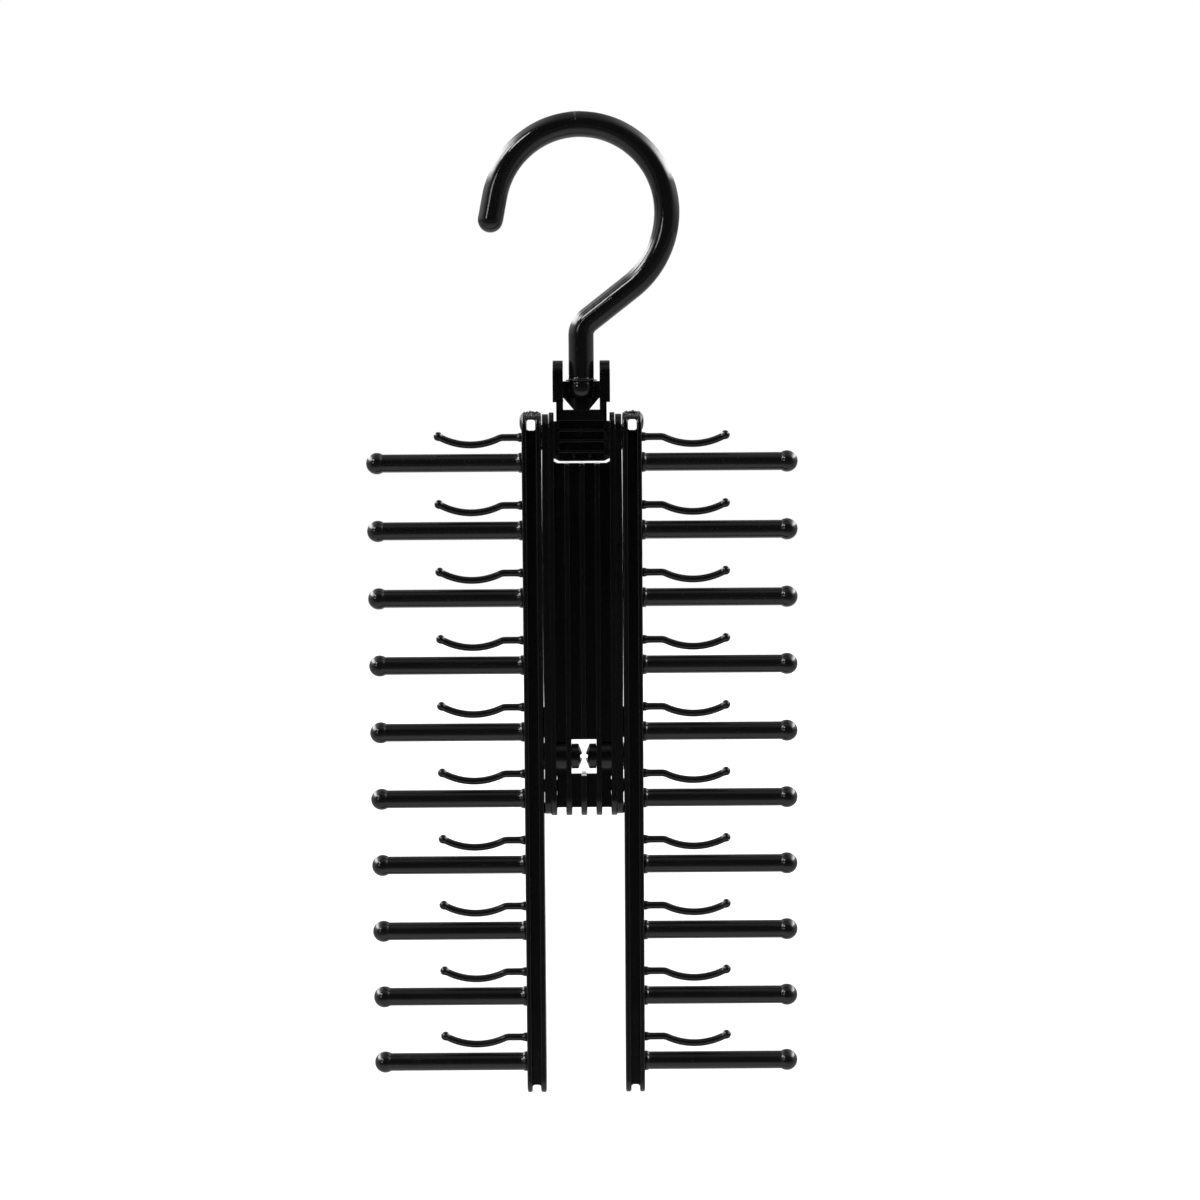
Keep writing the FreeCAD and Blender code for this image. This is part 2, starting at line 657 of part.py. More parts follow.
def belt_path(name, height):
    """A straight root, a small kink downwards and a shallow bow up to the tip."""
    straight, kink, bow = number("belt_straight"), number("belt_kink"), number("belt_bow")
    rise, lift = number("bow_rise"), number("belt_lift")
    turn = math.asin(number("bow_reach") / (bow + kink))
    end = math.asin(number("lift_reach") / bow)
    low = -math.pi / 2
    flat = Vector(0, 0, 1)
    bow_centre = Vector(straight + number("bow_reach"), rise, 0)
    path = doc.addObject("Sketcher::SketchObject", name)
    path.Placement = Placement(Vector(), FACING_FRONT)
    path.addGeometry([
        Part.LineSegment(Vector(0, 0, 0), Vector(straight, 0, 0)),
        Part.ArcOfCircle(Part.Circle(Vector(straight, -kink, 0), flat, kink), -low - turn, -low),
        Part.ArcOfCircle(Part.Circle(bow_centre, flat, bow), low - turn, low + end),
    ])
    relate(
        path,
        ("Coincident", 0, 1, -1, 1),
        ("Horizontal", 0),
        ("Tangent", 0, 2, 1, 2),
        ("Tangent", 1, 1, 2, 1),
    )
    measure(path, "Distance", (0,), "belt_straight")
    measure(path, "Radius", (1,), "belt_kink")
    measure(path, "Radius", (2,), "belt_bow")
    measure(path, "DistanceY", (-1, 1, 2, 3), "bow_rise")
    measure(path, "DistanceY", (-1, 1, 2, 2), "belt_lift")
    return put(path, x="rack_outer", z=height)


def belt_hook(place):
    """A spigot, a collar, a thin bowed arm and a small ball."""
    name = f"right_belt_hook_{place + 1:02d}"
    height = f"{peg_height(place)} + belt_above"
    spigot = rod(f"{name}_spigot", "belt_spigot", ("rack_outer - outer_flange", "rack_outer"), height)
    collar_span = ("rack_outer", "rack_outer + belt_collar_length")
    collar = rod(f"{name}_collar", "belt_collar", collar_span, height)
    path = belt_path(f"{name}_path", height)
    arm = sweep(f"{name}_arm", path, "belt_diameter", x="rack_outer", z=height)
    tip_x = "rack_outer + belt_straight + bow_reach + lift_reach"
    tip = ball(f"{name}_tip", "belt_ball", tip_x, f"{height} + belt_lift")
    keep_pair(fuse(name, spigot, collar, arm, tip))


hook()
yoke()
hinge_pins()
spine()
side_plates()
rack_bars()
pivot_studs()
for place in range(PEG_COUNT):
    tie_peg(place)
    belt_hook(place)

doc.recompute()
failed = [feature.Label for feature in doc.Objects if {"Invalid", "Error"} & set(feature.State)]
failed += [piece.Label for piece in pieces if piece.Shape.isNull() or not piece.Shape.isValid()]
sketches = doc.findObjects("Sketcher::SketchObject")
failed += [sketch.Label for sketch in sketches if not sketch.FullyConstrained]
if failed:
    raise RuntimeError(f"these did not build: {', '.join(failed)}")
os.makedirs("parts", exist_ok=True)
for piece in pieces:
    piece.Shape.exportStep(f"parts/{piece.Label}.step")
    print(piece.Label, len(piece.Shape.Solids), round(piece.Shape.Volume, 2))
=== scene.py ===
import json

import bpy
import numpy as np
from mathutils import Matrix, Vector


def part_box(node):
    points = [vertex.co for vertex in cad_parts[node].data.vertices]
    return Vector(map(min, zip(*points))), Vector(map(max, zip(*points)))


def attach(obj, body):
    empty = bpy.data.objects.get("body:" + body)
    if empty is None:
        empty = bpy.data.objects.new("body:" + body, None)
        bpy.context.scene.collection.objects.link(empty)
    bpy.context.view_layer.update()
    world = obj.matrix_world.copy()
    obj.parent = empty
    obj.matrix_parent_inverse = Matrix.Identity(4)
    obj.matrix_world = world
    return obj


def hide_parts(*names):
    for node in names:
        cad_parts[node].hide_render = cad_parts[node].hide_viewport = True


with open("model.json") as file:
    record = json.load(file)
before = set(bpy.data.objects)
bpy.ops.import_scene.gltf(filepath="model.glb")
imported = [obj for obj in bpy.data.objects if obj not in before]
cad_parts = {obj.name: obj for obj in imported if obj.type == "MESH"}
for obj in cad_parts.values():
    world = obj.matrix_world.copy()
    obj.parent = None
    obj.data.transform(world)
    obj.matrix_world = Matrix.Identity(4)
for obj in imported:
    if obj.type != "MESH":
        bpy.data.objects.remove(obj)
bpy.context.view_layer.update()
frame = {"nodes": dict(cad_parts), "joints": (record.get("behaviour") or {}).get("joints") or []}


# Hook: one bent rod of glossy black plastic, moulded lying flat between two mould halves, so a fine parting
# ridge follows its inner and outer bend. A faint seam with a little flash crosses the crown, where the two
# flow fronts met. The ball under its flared foot snaps into the yoke's socket and lets the hook swivel.
pivots = {joint["name"]: joint["pos_m"] for joint in frame["joints"]}
hook_low, hook_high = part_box("hook")
BALL_Z = pivots["hook_swivel"][2]
BALL_RADIUS = BALL_Z - hook_low.z
ROD_RADIUS = hook_high.z / 2
SEAT_RADIUS = 0.0256
BELLY_RADIUS = 0.0326
KINK_RADIUS = 0.0065
SLOPE = np.radians(37.8)
TIP_TURN = np.radians(79)
TIP_LENGTH = 0.0084
FOOT_Z = -0.08375
FOOT_FILLET = 0.001
FOOT_EDGE = 0.0002
SEAM_OFFSET = 0.0014
SEAM_WIDTH = 0.00024
SEAM_DEPTH = 0.00005
FLASH_LENGTH = 0.0016
FLASH_HEIGHT = 0.00026
FLASH_SPREAD = 0.8
FLECK_WAVES = (13, 5.3)
RIDGE_WIDTH = 0.00011
RIDGE_HEIGHT = 0.000035
RIDGE_SHARES = np.array([0.4, 1, 1.7, 2.6])
ROW_STEP = 0.0005
SEAM_STEP = 0.00005
ROD_SIDES = 72
BALL_ROWS = 40
RIM_ROWS = 9
HOLLOW_ROWS = 12
TIP_ROWS = 16
POLE_SHARE = 0.04
PEEL_SCALE = 500
CLOUD_SCALE = 70
CLOUD_RANGE = (0.3, 0.7)
CREST_RANGE = (0.66, 0.8)
FLOW_LINE_HEIGHT = 0.00003
HOOK_FINISH = {
    "dark": (0.006, 0.006, 0.0067), "pale": (0.009, 0.009, 0.01), "gloss": 0.06, "dull": 0.12,
    "peel": 0.00003, "scratch": 0.1, "stretch": (60, 1500, 1500),
}


def trail(start, heading, runs):
    """Straight runs and arcs laid end to end. A run is (length, turn, step): the heading grows evenly by
    the turn, and each point is the last one plus a chord along the heading halfway between them."""
    counts = [max(1, round(length / step)) for length, turn, step in runs]
    lengths = np.repeat([run[0] / count for run, count in zip(runs, counts)], counts)
    turns = np.repeat([run[1] / count for run, count in zip(runs, counts)], counts)
    headings = heading + np.concatenate([[0], np.cumsum(turns)])
    halfway = headings[:-1] + turns / 2
    chords = lengths * np.sinc(turns / (2 * np.pi))
    moves = chords[:, None] * np.stack([np.cos(halfway), np.sin(halfway)], 1)
    points = np.asarray(start) + np.concatenate([np.zeros((1, 2)), np.cumsum(moves, 0)])
    return points, headings, np.concatenate([[0], np.cumsum(lengths)])


def full_turn(count):
    """Even angles once round."""
    return np.linspace(0, 2 * np.pi, count, endpoint=False)


def ring_angles(count, ridge):
    """Even angles round a section, with closer ones beside the parting plane at no turn and half a turn."""
    beside = np.concatenate([-RIDGE_SHARES, RIDGE_SHARES]) * ridge
    return np.sort(np.concatenate([full_turn(count), beside % (2 * np.pi), np.pi + beside]))


def tube(points, headings, radii, angles):
    """Round rings on a path in the front plane: a ring's point is its centre plus its radius times the
    cosine of its angle to the path's left plus the sine of it to the front."""
    left = np.stack([-np.sin(headings), 0 * headings, np.cos(headings)], 1)
    centres = np.stack([points[:, 0], 0 * headings, points[:, 1]], 1)
    spokes = np.cos(angles)[:, None] * left[:, None] + np.sin(angles)[:, None] * np.array([0, -1, 0])
    rings = centres[:, None] + np.broadcast_to(radii, (len(points), len(angles)))[..., None] * spokes
    return rings, np.zeros_like(rings), False


def parting_ridge(angles, radius, height):
    """A low ridge over the parting plane: its height falls off with the squared distance from the plane."""
    return height * np.exp(-((radius * np.sin(angles) / RIDGE_WIDTH) ** 2))


def straightened(points, angles):
    """Places on a round rod as if it were unbent: the distance along it, and the two places across it."""
    steps = np.linalg.norm(np.diff(points, axis=0), axis=1)
    along = np.concatenate([[0], np.cumsum(steps)])[:, None] + 0 * angles
    across = [ROD_RADIUS * np.cos(angles) + 0 * along, ROD_RADIUS * np.sin(angles) + 0 * along]
    return np.stack([along, *across], -1)


def hook_shell():
    """Ball and flared foot as rings up the stem, then the bent rod, then its round tip, as one skin. The
    flare is a hollow quarter round between the foot's rim and the stem. The seam is a fine groove, and
    flecks of flash stand over it on the crown's outside. Gives the skin and its unbent places."""
    crown = SEAT_RADIUS + ROD_RADIUS
    turn = np.pi / 2 - SLOPE
    slope_x = crown - BELLY_RADIUS + BELLY_RADIUS * np.cos(turn)
    slope_z = -SEAT_RADIUS - BELLY_RADIUS * np.sin(turn)
    setback = KINK_RADIUS * np.tan(turn / 2)
    stem_top = slope_z - slope_x * np.tan(SLOPE) - setback
    slope_length = slope_x / np.cos(SLOPE) - setback
    half_seam = 2 * FLASH_LENGTH / crown
    to_seam = np.pi / 2 + SEAM_OFFSET / crown - half_seam
    over_seam = 2 * half_seam
    past_seam = np.pi / 2 + TIP_TURN - to_seam - over_seam
    rim_top = FOOT_Z + 2 * FOOT_EDGE
    fillet_top = rim_top + FOOT_FILLET
    stem_foot = fillet_top + FOOT_FILLET
    points, headings, along = trail((0, stem_foot), np.pi / 2, [
        (stem_top - stem_foot, 0, ROW_STEP),
        (KINK_RADIUS * turn, -turn, ROW_STEP / 2),
        (slope_length, 0, ROW_STEP),
        (BELLY_RADIUS * turn, turn, ROW_STEP),
        (crown * to_seam, to_seam, ROW_STEP),
        (crown * over_seam, over_seam, SEAM_STEP),
        (crown * past_seam, past_seam, ROW_STEP),
        (TIP_LENGTH, 0, ROW_STEP),
    ])
    ball_top = np.arcsin((FOOT_Z - BALL_Z) / BALL_RADIUS)
    ball_turn = np.linspace(-np.arccos(POLE_SHARE), ball_top, BALL_ROWS)
    rim = np.linspace(-np.pi / 2, np.pi / 2, RIM_ROWS)
    hollow = np.linspace(0, np.pi / 2, HOLLOW_ROWS)
    foot_radius = ROD_RADIUS + FOOT_FILLET
    foot_z = np.concatenate([
        BALL_Z + BALL_RADIUS * np.sin(ball_turn),
        FOOT_Z + FOOT_EDGE * (1 + np.sin(rim)),
        rim_top + FOOT_FILLET * (1 - np.cos(hollow)),
        [(fillet_top + stem_foot) / 2],
    ])
    foot_radii = np.concatenate([
        BALL_RADIUS * np.cos(ball_turn),
        foot_radius - FOOT_EDGE * (1 - np.cos(rim)),
        foot_radius - FOOT_FILLET * np.sin(hollow),
        [ROD_RADIUS],
    ])
    tip_turn = np.linspace(0, np.arccos(POLE_SHARE), TIP_ROWS)[1:, None]
    tip_way = np.array([np.cos(headings[-1]), np.sin(headings[-1])])
    tip_points = points[-1] + ROD_RADIUS * np.sin(tip_turn) * tip_way
    angles = ring_angles(ROD_SIDES, RIDGE_WIDTH / ROD_RADIUS)
    from_seam = along - (along[-1] - TIP_LENGTH - crown * (past_seam + half_seam))
    seam = -SEAM_DEPTH * np.exp(-((from_seam / SEAM_WIDTH) ** 2))
    waves = [np.sin(wave * from_seam / FLASH_LENGTH) for wave in FLECK_WAVES]
    flecks = np.abs(sum(waves)) / len(waves) * np.exp(-((from_seam / FLASH_LENGTH) ** 2))
    outside = np.exp(-(((angles - np.pi) / FLASH_SPREAD) ** 2))
    rod = ROD_RADIUS + parting_ridge(angles, ROD_RADIUS, RIDGE_HEIGHT) + seam[:, None]
    radii = np.concatenate([
        np.repeat(foot_radii[:, None], len(angles), 1),
        rod + FLASH_HEIGHT * flecks[:, None] * outside,
        np.repeat(ROD_RADIUS * np.cos(tip_turn), len(angles), 1),
    ])
    all_points = np.concatenate([np.stack([0 * foot_z, foot_z], 1), points, tip_points])
    all_headings = np.concatenate([
        np.full(len(foot_z), np.pi / 2), headings, np.full(len(tip_points), headings[-1]),
    ])
    return tube(all_points, all_headings, radii, angles), straightened(all_points, angles)


def moulding(name, shells, body, slot, material, *nodes):
    """One moulded piece from closed shells. A shell is a stack of rings with faces between neighbours, its
    shading normals, and whether it is wrapped. A plain stack has a flat lid on its first and last ring, and
    a wrapped one joins its last ring to its first. Where a normal is zero, the faces give the shading."""
    faces, count = [], 0
    for points, normals, wrapped in shells:
        rows, columns = points.shape[:2]
        index = count + np.arange(rows * columns).reshape(rows, columns)
        lower = index if wrapped else index[:-1]
        upper = np.roll(index, -1, 0) if wrapped else index[1:]
        quads = np.stack([lower, np.roll(lower, -1, 1), np.roll(upper, -1, 1), upper], -1)
        faces += quads.reshape(-1, 4).tolist()
        if not wrapped:
            faces += [index[0, ::-1].tolist(), index[-1].tolist()]
        count += rows * columns
    places, shading = (np.concatenate([shell[part].reshape(-1, 3) for shell in shells]) for part in (0, 1))
    mesh = bpy.data.meshes.new(name)
    mesh.from_pydata(places, [], faces)
    mesh.shade_smooth()
    mesh.normals_split_custom_set_from_vertices(shading)
    mesh.materials.append(material)
    piece = bpy.data.objects.new(name, mesh)
    bpy.context.scene.collection.objects.link(piece)
    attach(piece, body)
    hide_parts(*nodes)
    return piece


def feed(tree, target, value):
    """Gives a node's input a link from another socket, or a plain value."""
    if isinstance(value, bpy.types.NodeSocket):
        tree.links.new(value, target)
    else:
        target.default_value = value


def figure(tree, operation, *values):
    """A math node whose inputs are sockets or plain numbers."""
    node = tree.nodes.new("ShaderNodeMath")
    node.operation = operation
    for target, value in zip(node.inputs, values):
        feed(tree, target, value)
    return node.outputs["Value"]


def fade(tree, value, limits, low=0, high=1):
    """Eases from the low to the high level while the value goes from the first limit to the second."""
    node = tree.nodes.new("ShaderNodeMapRange")
    node.interpolation_type = "SMOOTHSTEP"
    levels = {"Value": value, "From Min": limits[0], "From Max": limits[1], "To Min": low, "To Max": high}
    for label, level in levels.items():
        feed(tree, node.inputs[label], level)
    return node.outputs["Result"]


def chosen(tree, kind, mask, plain, other):
    """Goes from the plain colour or level to the other one with a mask. Both are sockets or plain values."""
    node = tree.nodes.new("ShaderNodeMix")
    node.data_type = kind
    for label, value in (("Factor", mask), ("A", plain), ("B", other)):
        feed(tree, node.inputs[label], value)
    return node.outputs["Result"]


def effect(name, inputs, outputs):
    """An empty shader node group with named sockets, and its two end nodes."""
    group = bpy.data.node_groups.new(name, "ShaderNodeTree")
    for label, kind, value in inputs:
        socket = group.interface.new_socket(label, in_out="INPUT", socket_type=kind)
        if value is not None:
            socket.default_value = value
    for label in outputs:
        group.interface.new_socket(label, in_out="OUTPUT", socket_type="NodeSocketFloat")
    return group, group.nodes.new("NodeGroupInput"), group.nodes.new("NodeGroupOutput")


def moulded_skin():
    """The skin that a polished mould leaves: a fine waviness, and slow clouds of slightly duller surface."""
    group, given, made = effect(
        "moulded_skin",
        [("Vector", "NodeSocketVector", None), ("Peel Scale", "NodeSocketFloat", PEEL_SCALE),
         ("Cloud Scale", "NodeSocketFloat", CLOUD_SCALE)],
        ["Height", "Cloud"],
    )
    for label, scale, detail in (("Height", "Peel Scale", 2), ("Cloud", "Cloud Scale", 4)):
        noise = group.nodes.new("ShaderNodeTexNoise")
        noise.inputs["Detail"].default_value = detail
        group.links.new(given.outputs["Vector"], noise.inputs["Vector"])
        group.links.new(given.outputs[scale], noise.inputs["Scale"])
        group.links.new(noise.outputs["Fac"], made.inputs[label])
    return group


def hairlines():
    """Handling scratches: noise drawn out along the piece, of which only the crests are kept."""
    group, given, made = effect(
        "hairlines",
        [("Vector", "NodeSocketVector", None), ("Stretch", "NodeSocketVector", None),
         ("Cutoff", "NodeSocketFloat", CREST_RANGE[0])],
        ["Mask"],
    )
    drawn = group.nodes.new("ShaderNodeVectorMath")
    drawn.operation = "MULTIPLY"
    noise = group.nodes.new("ShaderNodeTexNoise")
    noise.inputs["Scale"].default_value = 1
    noise.inputs["Detail"].default_value = 1
    crests = fade(group, noise.outputs["Fac"], (given.outputs["Cutoff"], CREST_RANGE[1]))
    group.links.new(given.outputs["Vector"], drawn.inputs[0])
    group.links.new(given.outputs["Stretch"], drawn.inputs[1])
    group.links.new(drawn.outputs["Vector"], noise.inputs["Vector"])
    group.links.new(crests, made.inputs["Mask"])
    return group


SKIN = moulded_skin()
HAIRLINES = hairlines()


def black_plastic(name, dark, pale, gloss, dull, peel, scratch, stretch, flow=None):
    """Black plastic from a polished mould: two blacks and two roughnesses mixed by the skin's clouds, a fine
    waviness as bump, and hairlines that dull the surface. Where a flow attribute is named, the hairlines
    follow it and stand out a little, as flow lines do."""
    material = bpy.data.materials.new(name)
    material.use_nodes = True
    tree = material.node_tree
    shader = tree.nodes["Principled BSDF"]
    shader.inputs["IOR"].default_value = 1.5
    where = tree.nodes.new("ShaderNodeTexCoord").outputs["Object"]
    skin = tree.nodes.new("ShaderNodeGroup")
    skin.node_tree = SKIN
    lines = tree.nodes.new("ShaderNodeGroup")
    lines.node_tree = HAIRLINES
    lines.inputs["Stretch"].default_value = stretch
    colour = chosen(tree, "RGBA", skin.outputs["Cloud"], (*dark, 1), (*pale, 1))
    sheen = tree.nodes.new("ShaderNodeMapRange")
    sheen.inputs["From Min"].default_value = CLOUD_RANGE[0]
    sheen.inputs["From Max"].default_value = CLOUD_RANGE[1]
    sheen.inputs["To Min"].default_value = gloss
    sheen.inputs["To Max"].default_value = dull
    worn = figure(tree, "MULTIPLY_ADD", lines.outputs["Mask"], scratch, sheen.outputs["Result"])
    bump = tree.nodes.new("ShaderNodeBump")
    bump.inputs["Strength"].default_value = 1
    bump.inputs["Distance"].default_value = peel
    lines_follow = where
    if flow:
        unbent = tree.nodes.new("ShaderNodeAttribute")
        unbent.attribute_name = flow
        lines_follow = unbent.outputs["Vector"]
        raised = tree.nodes.new("ShaderNodeBump")
        raised.inputs["Distance"].default_value = FLOW_LINE_HEIGHT
        tree.links.new(lines.outputs["Mask"], raised.inputs["Height"])
        tree.links.new(raised.outputs["Normal"], bump.inputs["Normal"])
    for source, target in (
        (where, skin.inputs["Vector"]),
        (lines_follow, lines.inputs["Vector"]),
        (skin.outputs["Cloud"], sheen.inputs["Value"]),
        (skin.outputs["Height"], bump.inputs["Height"]),
        (colour, shader.inputs["Base Color"]),
        (worn, shader.inputs["Roughness"]),
        (bump.outputs["Normal"], shader.inputs["Normal"]),
    ):
        tree.links.new(source, target)
    return material


hook_plastic = black_plastic("hook_plastic", **HOOK_FINISH, flow="flow")
hook_skin, hook_flow = hook_shell()
hook = moulding("hook_moulding", [hook_skin], "hook", "hook_black", hook_plastic, "hook")
hook.data.attributes.new("flow", "FLOAT_VECTOR", "POINT").data.foreach_set("vector", hook_flow.ravel())


# Yoke: moulded in one piece in satin black plastic. Two ears stand either side of the hook's foot, a bridge
# between them carries the split ball socket and its funnel, and a finned knuckle below turns between the
# spine's fork arms on the two hinge pins.
yoke_low, yoke_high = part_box("yoke")
HINGE_Z = pivots["yoke_tilt"][2]
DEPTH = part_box("spine")[1].y
SOCKET_Z = -0.08385
SOCKET_RADIUS = 0.00488
BOSS_RADIUS = yoke_high.y
BOSS_HEIGHT = 0.00585
MOUTH_HALF = 0.00435
FUNNEL_HEIGHT = 0.004
FUNNEL_FOOT = 0.00275
BRIDGE_HALF = 0.0035
EAR_INNER = 0.00635
EAR_OUTER = yoke_high.x
EAR_BELOW = 0.00725
ARM_OUTER = 0.00875
KNUCKLE_HALF = 0.00966
KNUCKLE_BEVEL = 0.0011
KNUCKLE_RADIUS = HINGE_Z - yoke_low.z
SHOULDER_HEIGHT = 0.0039
FIN_BELOW = 0.0033
FIN_PITCH = 0.0037
FIN_THICKNESS = 0.001
FIN_COUNT = 4
BAY_COUNT = 3
POCKET_WALL = 0.001
CORE_HALF = 0.0027
YOKE_EDGE = 0.00022
SEAT_ROWS = 14
SOCKET_SIDES = 40
FUNNEL_ROWS = 21
FUNNEL_COLUMNS = 41
CORNER_STEPS = 7
EAR_STEPS = 14
BARREL_STEPS = 25
KNUCKLE_STEPS = 4
RIM_STEPS = 5
SAME_PLACE = 1e-8
FRAME_FINISH = {
    "dark": (0.0022, 0.0022, 0.0024), "pale": (0.0042, 0.0042, 0.0046), "gloss": 0.16, "dull": 0.26,
    "peel": 0.000008, "scratch": 0.15, "stretch": (900, 900, 110),
}


def rounded(corners, radii, steps=CORNER_STEPS):
    """A closed outline, anticlockwise, in which each corner is an arc that touches both its sides. An arc's
    point is its centre plus its radius times the direction that swings from one side's normal to the next
    one's. A corner of no radius stays one point. Gives the points and their outward normals."""
    corners = np.asarray(corners, float)
    radii = np.broadcast_to(radii, len(corners)).astype(float)
    before = corners - np.roll(corners, 1, 0)
    before /= np.linalg.norm(before, axis=1, keepdims=True)
    after = np.roll(before, -1, 0)
    turn = np.arctan2(before[:, 0] * after[:, 1] - before[:, 1] * after[:, 0], (before * after).sum(1))
    signed = radii * np.sign(turn)
    outward = np.stack([before[:, 1], -before[:, 0]], 1)
    centres = corners - before * (signed * np.tan(turn / 2))[:, None] - outward * signed[:, None]
    swing = np.arctan2(outward[:, 1], outward[:, 0])[:, None] + turn[:, None] * np.linspace(0, 1, steps)
    normals = np.stack([np.cos(swing), np.sin(swing)], -1)
    points = centres[:, None] + signed[:, None, None] * normals
    kept = (radii[:, None] > 0) | (np.arange(steps) == steps // 2)
    points, normals = points[kept], normals[kept]
    apart = np.linalg.norm(points - np.roll(points, 1, 0), axis=1) > SAME_PLACE
    return points[apart], normals[apart]


def place(axis, flat, heights):
    """Plane coordinates and heights along an axis as points in space, with the axes taken in turn."""
    tall = np.broadcast_to(np.reshape(heights, (-1, 1, 1)), (*flat.shape[:2], 1))
    return np.roll(np.concatenate([tall, flat], -1), axis, -1)


def slab(axis, span, outline, edge, bore=None):
    """A flat shape with rounded rims. Over a quarter turn at each face the outline is drawn in by the edge
    radius times one minus the sine, at that radius times one minus the cosine from the face. A bore, given
    as centre and radius, has a small bevel, and each of its points faces the outline's point."""
    points, normals = outline
    quarter = np.linspace(0, np.pi / 2, RIM_STEPS)
    inset = edge * (1 - np.sin(quarter))
    rise = edge * (1 - np.cos(quarter))
    heights = np.concatenate([span[0] + rise, (span[1] - rise)[::-1]])
    insets = np.concatenate([inset, inset[::-1]])
    tilts = np.concatenate([-np.cos(quarter), np.cos(quarter)[::-1]])
    flat = points - insets[:, None, None] * normals
    facing = np.sqrt(1 - tilts ** 2)[:, None, None] * normals
    if bore is None:
        return place(axis, flat, heights), place(axis, facing, tilts), False
    centre, radius = np.asarray(bore[0]), bore[1]
    spokes = (points - centre) / np.linalg.norm(points - centre, axis=1, keepdims=True)
    rims = np.array([radius + edge, radius, radius, radius + edge])
    hole = centre + rims[:, None, None] * spokes
    hole_heights = np.array([span[1], span[1] - edge, span[0] + edge, span[0]])
    hole_tilts = np.array([1, 0, 0, -1])
    hole_facing = -np.array([0, 1, 1, 0])[:, None, None] * spokes
    shape = place(axis, np.concatenate([flat, hole]), np.concatenate([heights, hole_heights]))
    shading = place(axis, np.concatenate([facing, hole_facing]), np.concatenate([tilts, hole_tilts]))
    return shape, shading, True


def oblong(wide, tall):
    """The four corners between two pairs of places, anticlockwise."""
    return [(wide[0], tall[0]), (wide[1], tall[0]), (wide[1], tall[1]), (wide[0], tall[1])]


def block(x, y, z, edge):
    """A box between three pairs of places, rounded alike on its twelve edges."""
    return slab(2, z, rounded(oblong(x, y), edge), edge)


def mirrored(shell):
    """The same shell on the hanger's other side, with its rings turned round so that it faces outwards."""
    flip = np.array([-1, 1, 1])
    points, normals, wrapped = shell
    return points[:, ::-1] * flip, normals[:, ::-1] * flip, wrapped


def both(*shells):
    """The given shells and their mirror images."""
    return [*shells, *map(mirrored, shells)]


def spun(section, around):
    """A section's points, each a distance and a height, carried round the upright axis by angles."""
    out, height = section.T
    return np.stack([out * np.cos(around), out * np.sin(around), height + 0 * around], -1)


def socket_wall():
    """The socket's wall: a section with a round seat inside, carried round from one side of the mouth to the
    other, so that it stays open to the front."""
    seat_ends = np.arcsin((np.array([SOCKET_Z, funnel_z]) - BALL_Z) / SOCKET_RADIUS)
    seat = np.linspace(*seat_ends, SEAT_ROWS)
    seat_points = np.stack([SOCKET_RADIUS * np.cos(seat), BALL_Z + SOCKET_RADIUS * np.sin(seat)], 1)
    corners = [*seat_points, (BOSS_RADIUS, funnel_z), (BOSS_RADIUS, SOCKET_Z)]
    section, facing = rounded(corners, [*(0 * seat), 0, YOKE_EDGE])
    half_mouth = np.arcsin(MOUTH_HALF / BOSS_RADIUS)
    around = np.linspace(half_mouth - np.pi / 2, 3 * np.pi / 2 - half_mouth, SOCKET_SIDES)[::-1, None]
    return spun(section, around), spun(facing, around), False


def funnel_plate():
    """Under the socket, a flat plate that narrows to the block. At each depth and place across, its top is
    the lower of a level plane and the ball's seat, whose height comes from the sphere."""
    depths = BRIDGE_HALF * np.concatenate([[-1], np.linspace(-1, 1, FUNNEL_ROWS), [1]])
    across = np.linspace(-BOSS_RADIUS, BOSS_RADIUS, FUNNEL_COLUMNS)
    bowl = BALL_Z - np.sqrt(np.clip(SOCKET_RADIUS ** 2 - depths[:, None] ** 2 - across ** 2, 0, None))
    top = np.stack([np.minimum(funnel_z, bowl), np.broadcast_to(across, bowl.shape)], -1)
    foot = block_z - FIN_THICKNESS
    below = np.array([
        (block_z, FUNNEL_FOOT), (foot, FUNNEL_FOOT), (foot, -FUNNEL_FOOT), (block_z, -FUNNEL_FOOT),
    ])
    flat = np.concatenate([top, np.broadcast_to(below, (len(depths), *below.shape))], 1)
    facing = np.zeros((*flat.shape[:2], 3))
    facing[0], facing[-1] = (0, -1, 0), (0, 1, 0)
    return place(1, flat, depths), facing, False


def bevelled(shell):
    """Cuts the knuckle's lower outer corner: no point lies below a slope that climbs to the outer face."""
    x, y, z = np.moveaxis(shell[0], -1, 0)
    climb = KNUCKLE_BEVEL * (x - wall_inner) / (KNUCKLE_HALF - wall_inner)
    return np.stack([x, y, np.maximum(z, HINGE_Z - KNUCKLE_RADIUS + climb)], -1), *shell[1:]


def ear_outline():
    """Seen from the side: square at the foot and a full half round at the top."""
    corners = oblong(deep, (ear_foot, yoke_high.z))
    return rounded(corners, [YOKE_EDGE, YOKE_EDGE, DEPTH, DEPTH], EAR_STEPS)


def knuckle_outline(half_depth, top):
    """Seen from the side: flat faces above, and below them the arc of the knuckle's barrel."""
    reach = np.arcsin(half_depth / KNUCKLE_RADIUS)
    swing = np.linspace(-reach, reach, BARREL_STEPS)[1:-1]
    arc = np.stack([KNUCKLE_RADIUS * np.sin(swing), HINGE_Z - KNUCKLE_RADIUS * np.cos(swing)], 1)
    shoulder = HINGE_Z - KNUCKLE_RADIUS * np.cos(reach)
    corners = [(-half_depth, shoulder), *arc, (half_depth, shoulder), (half_depth, top), (-half_depth, top)]
    radii = [YOKE_EDGE, *(0 * swing), YOKE_EDGE, YOKE_EDGE, YOKE_EDGE]
    return rounded(corners, radii, KNUCKLE_STEPS)


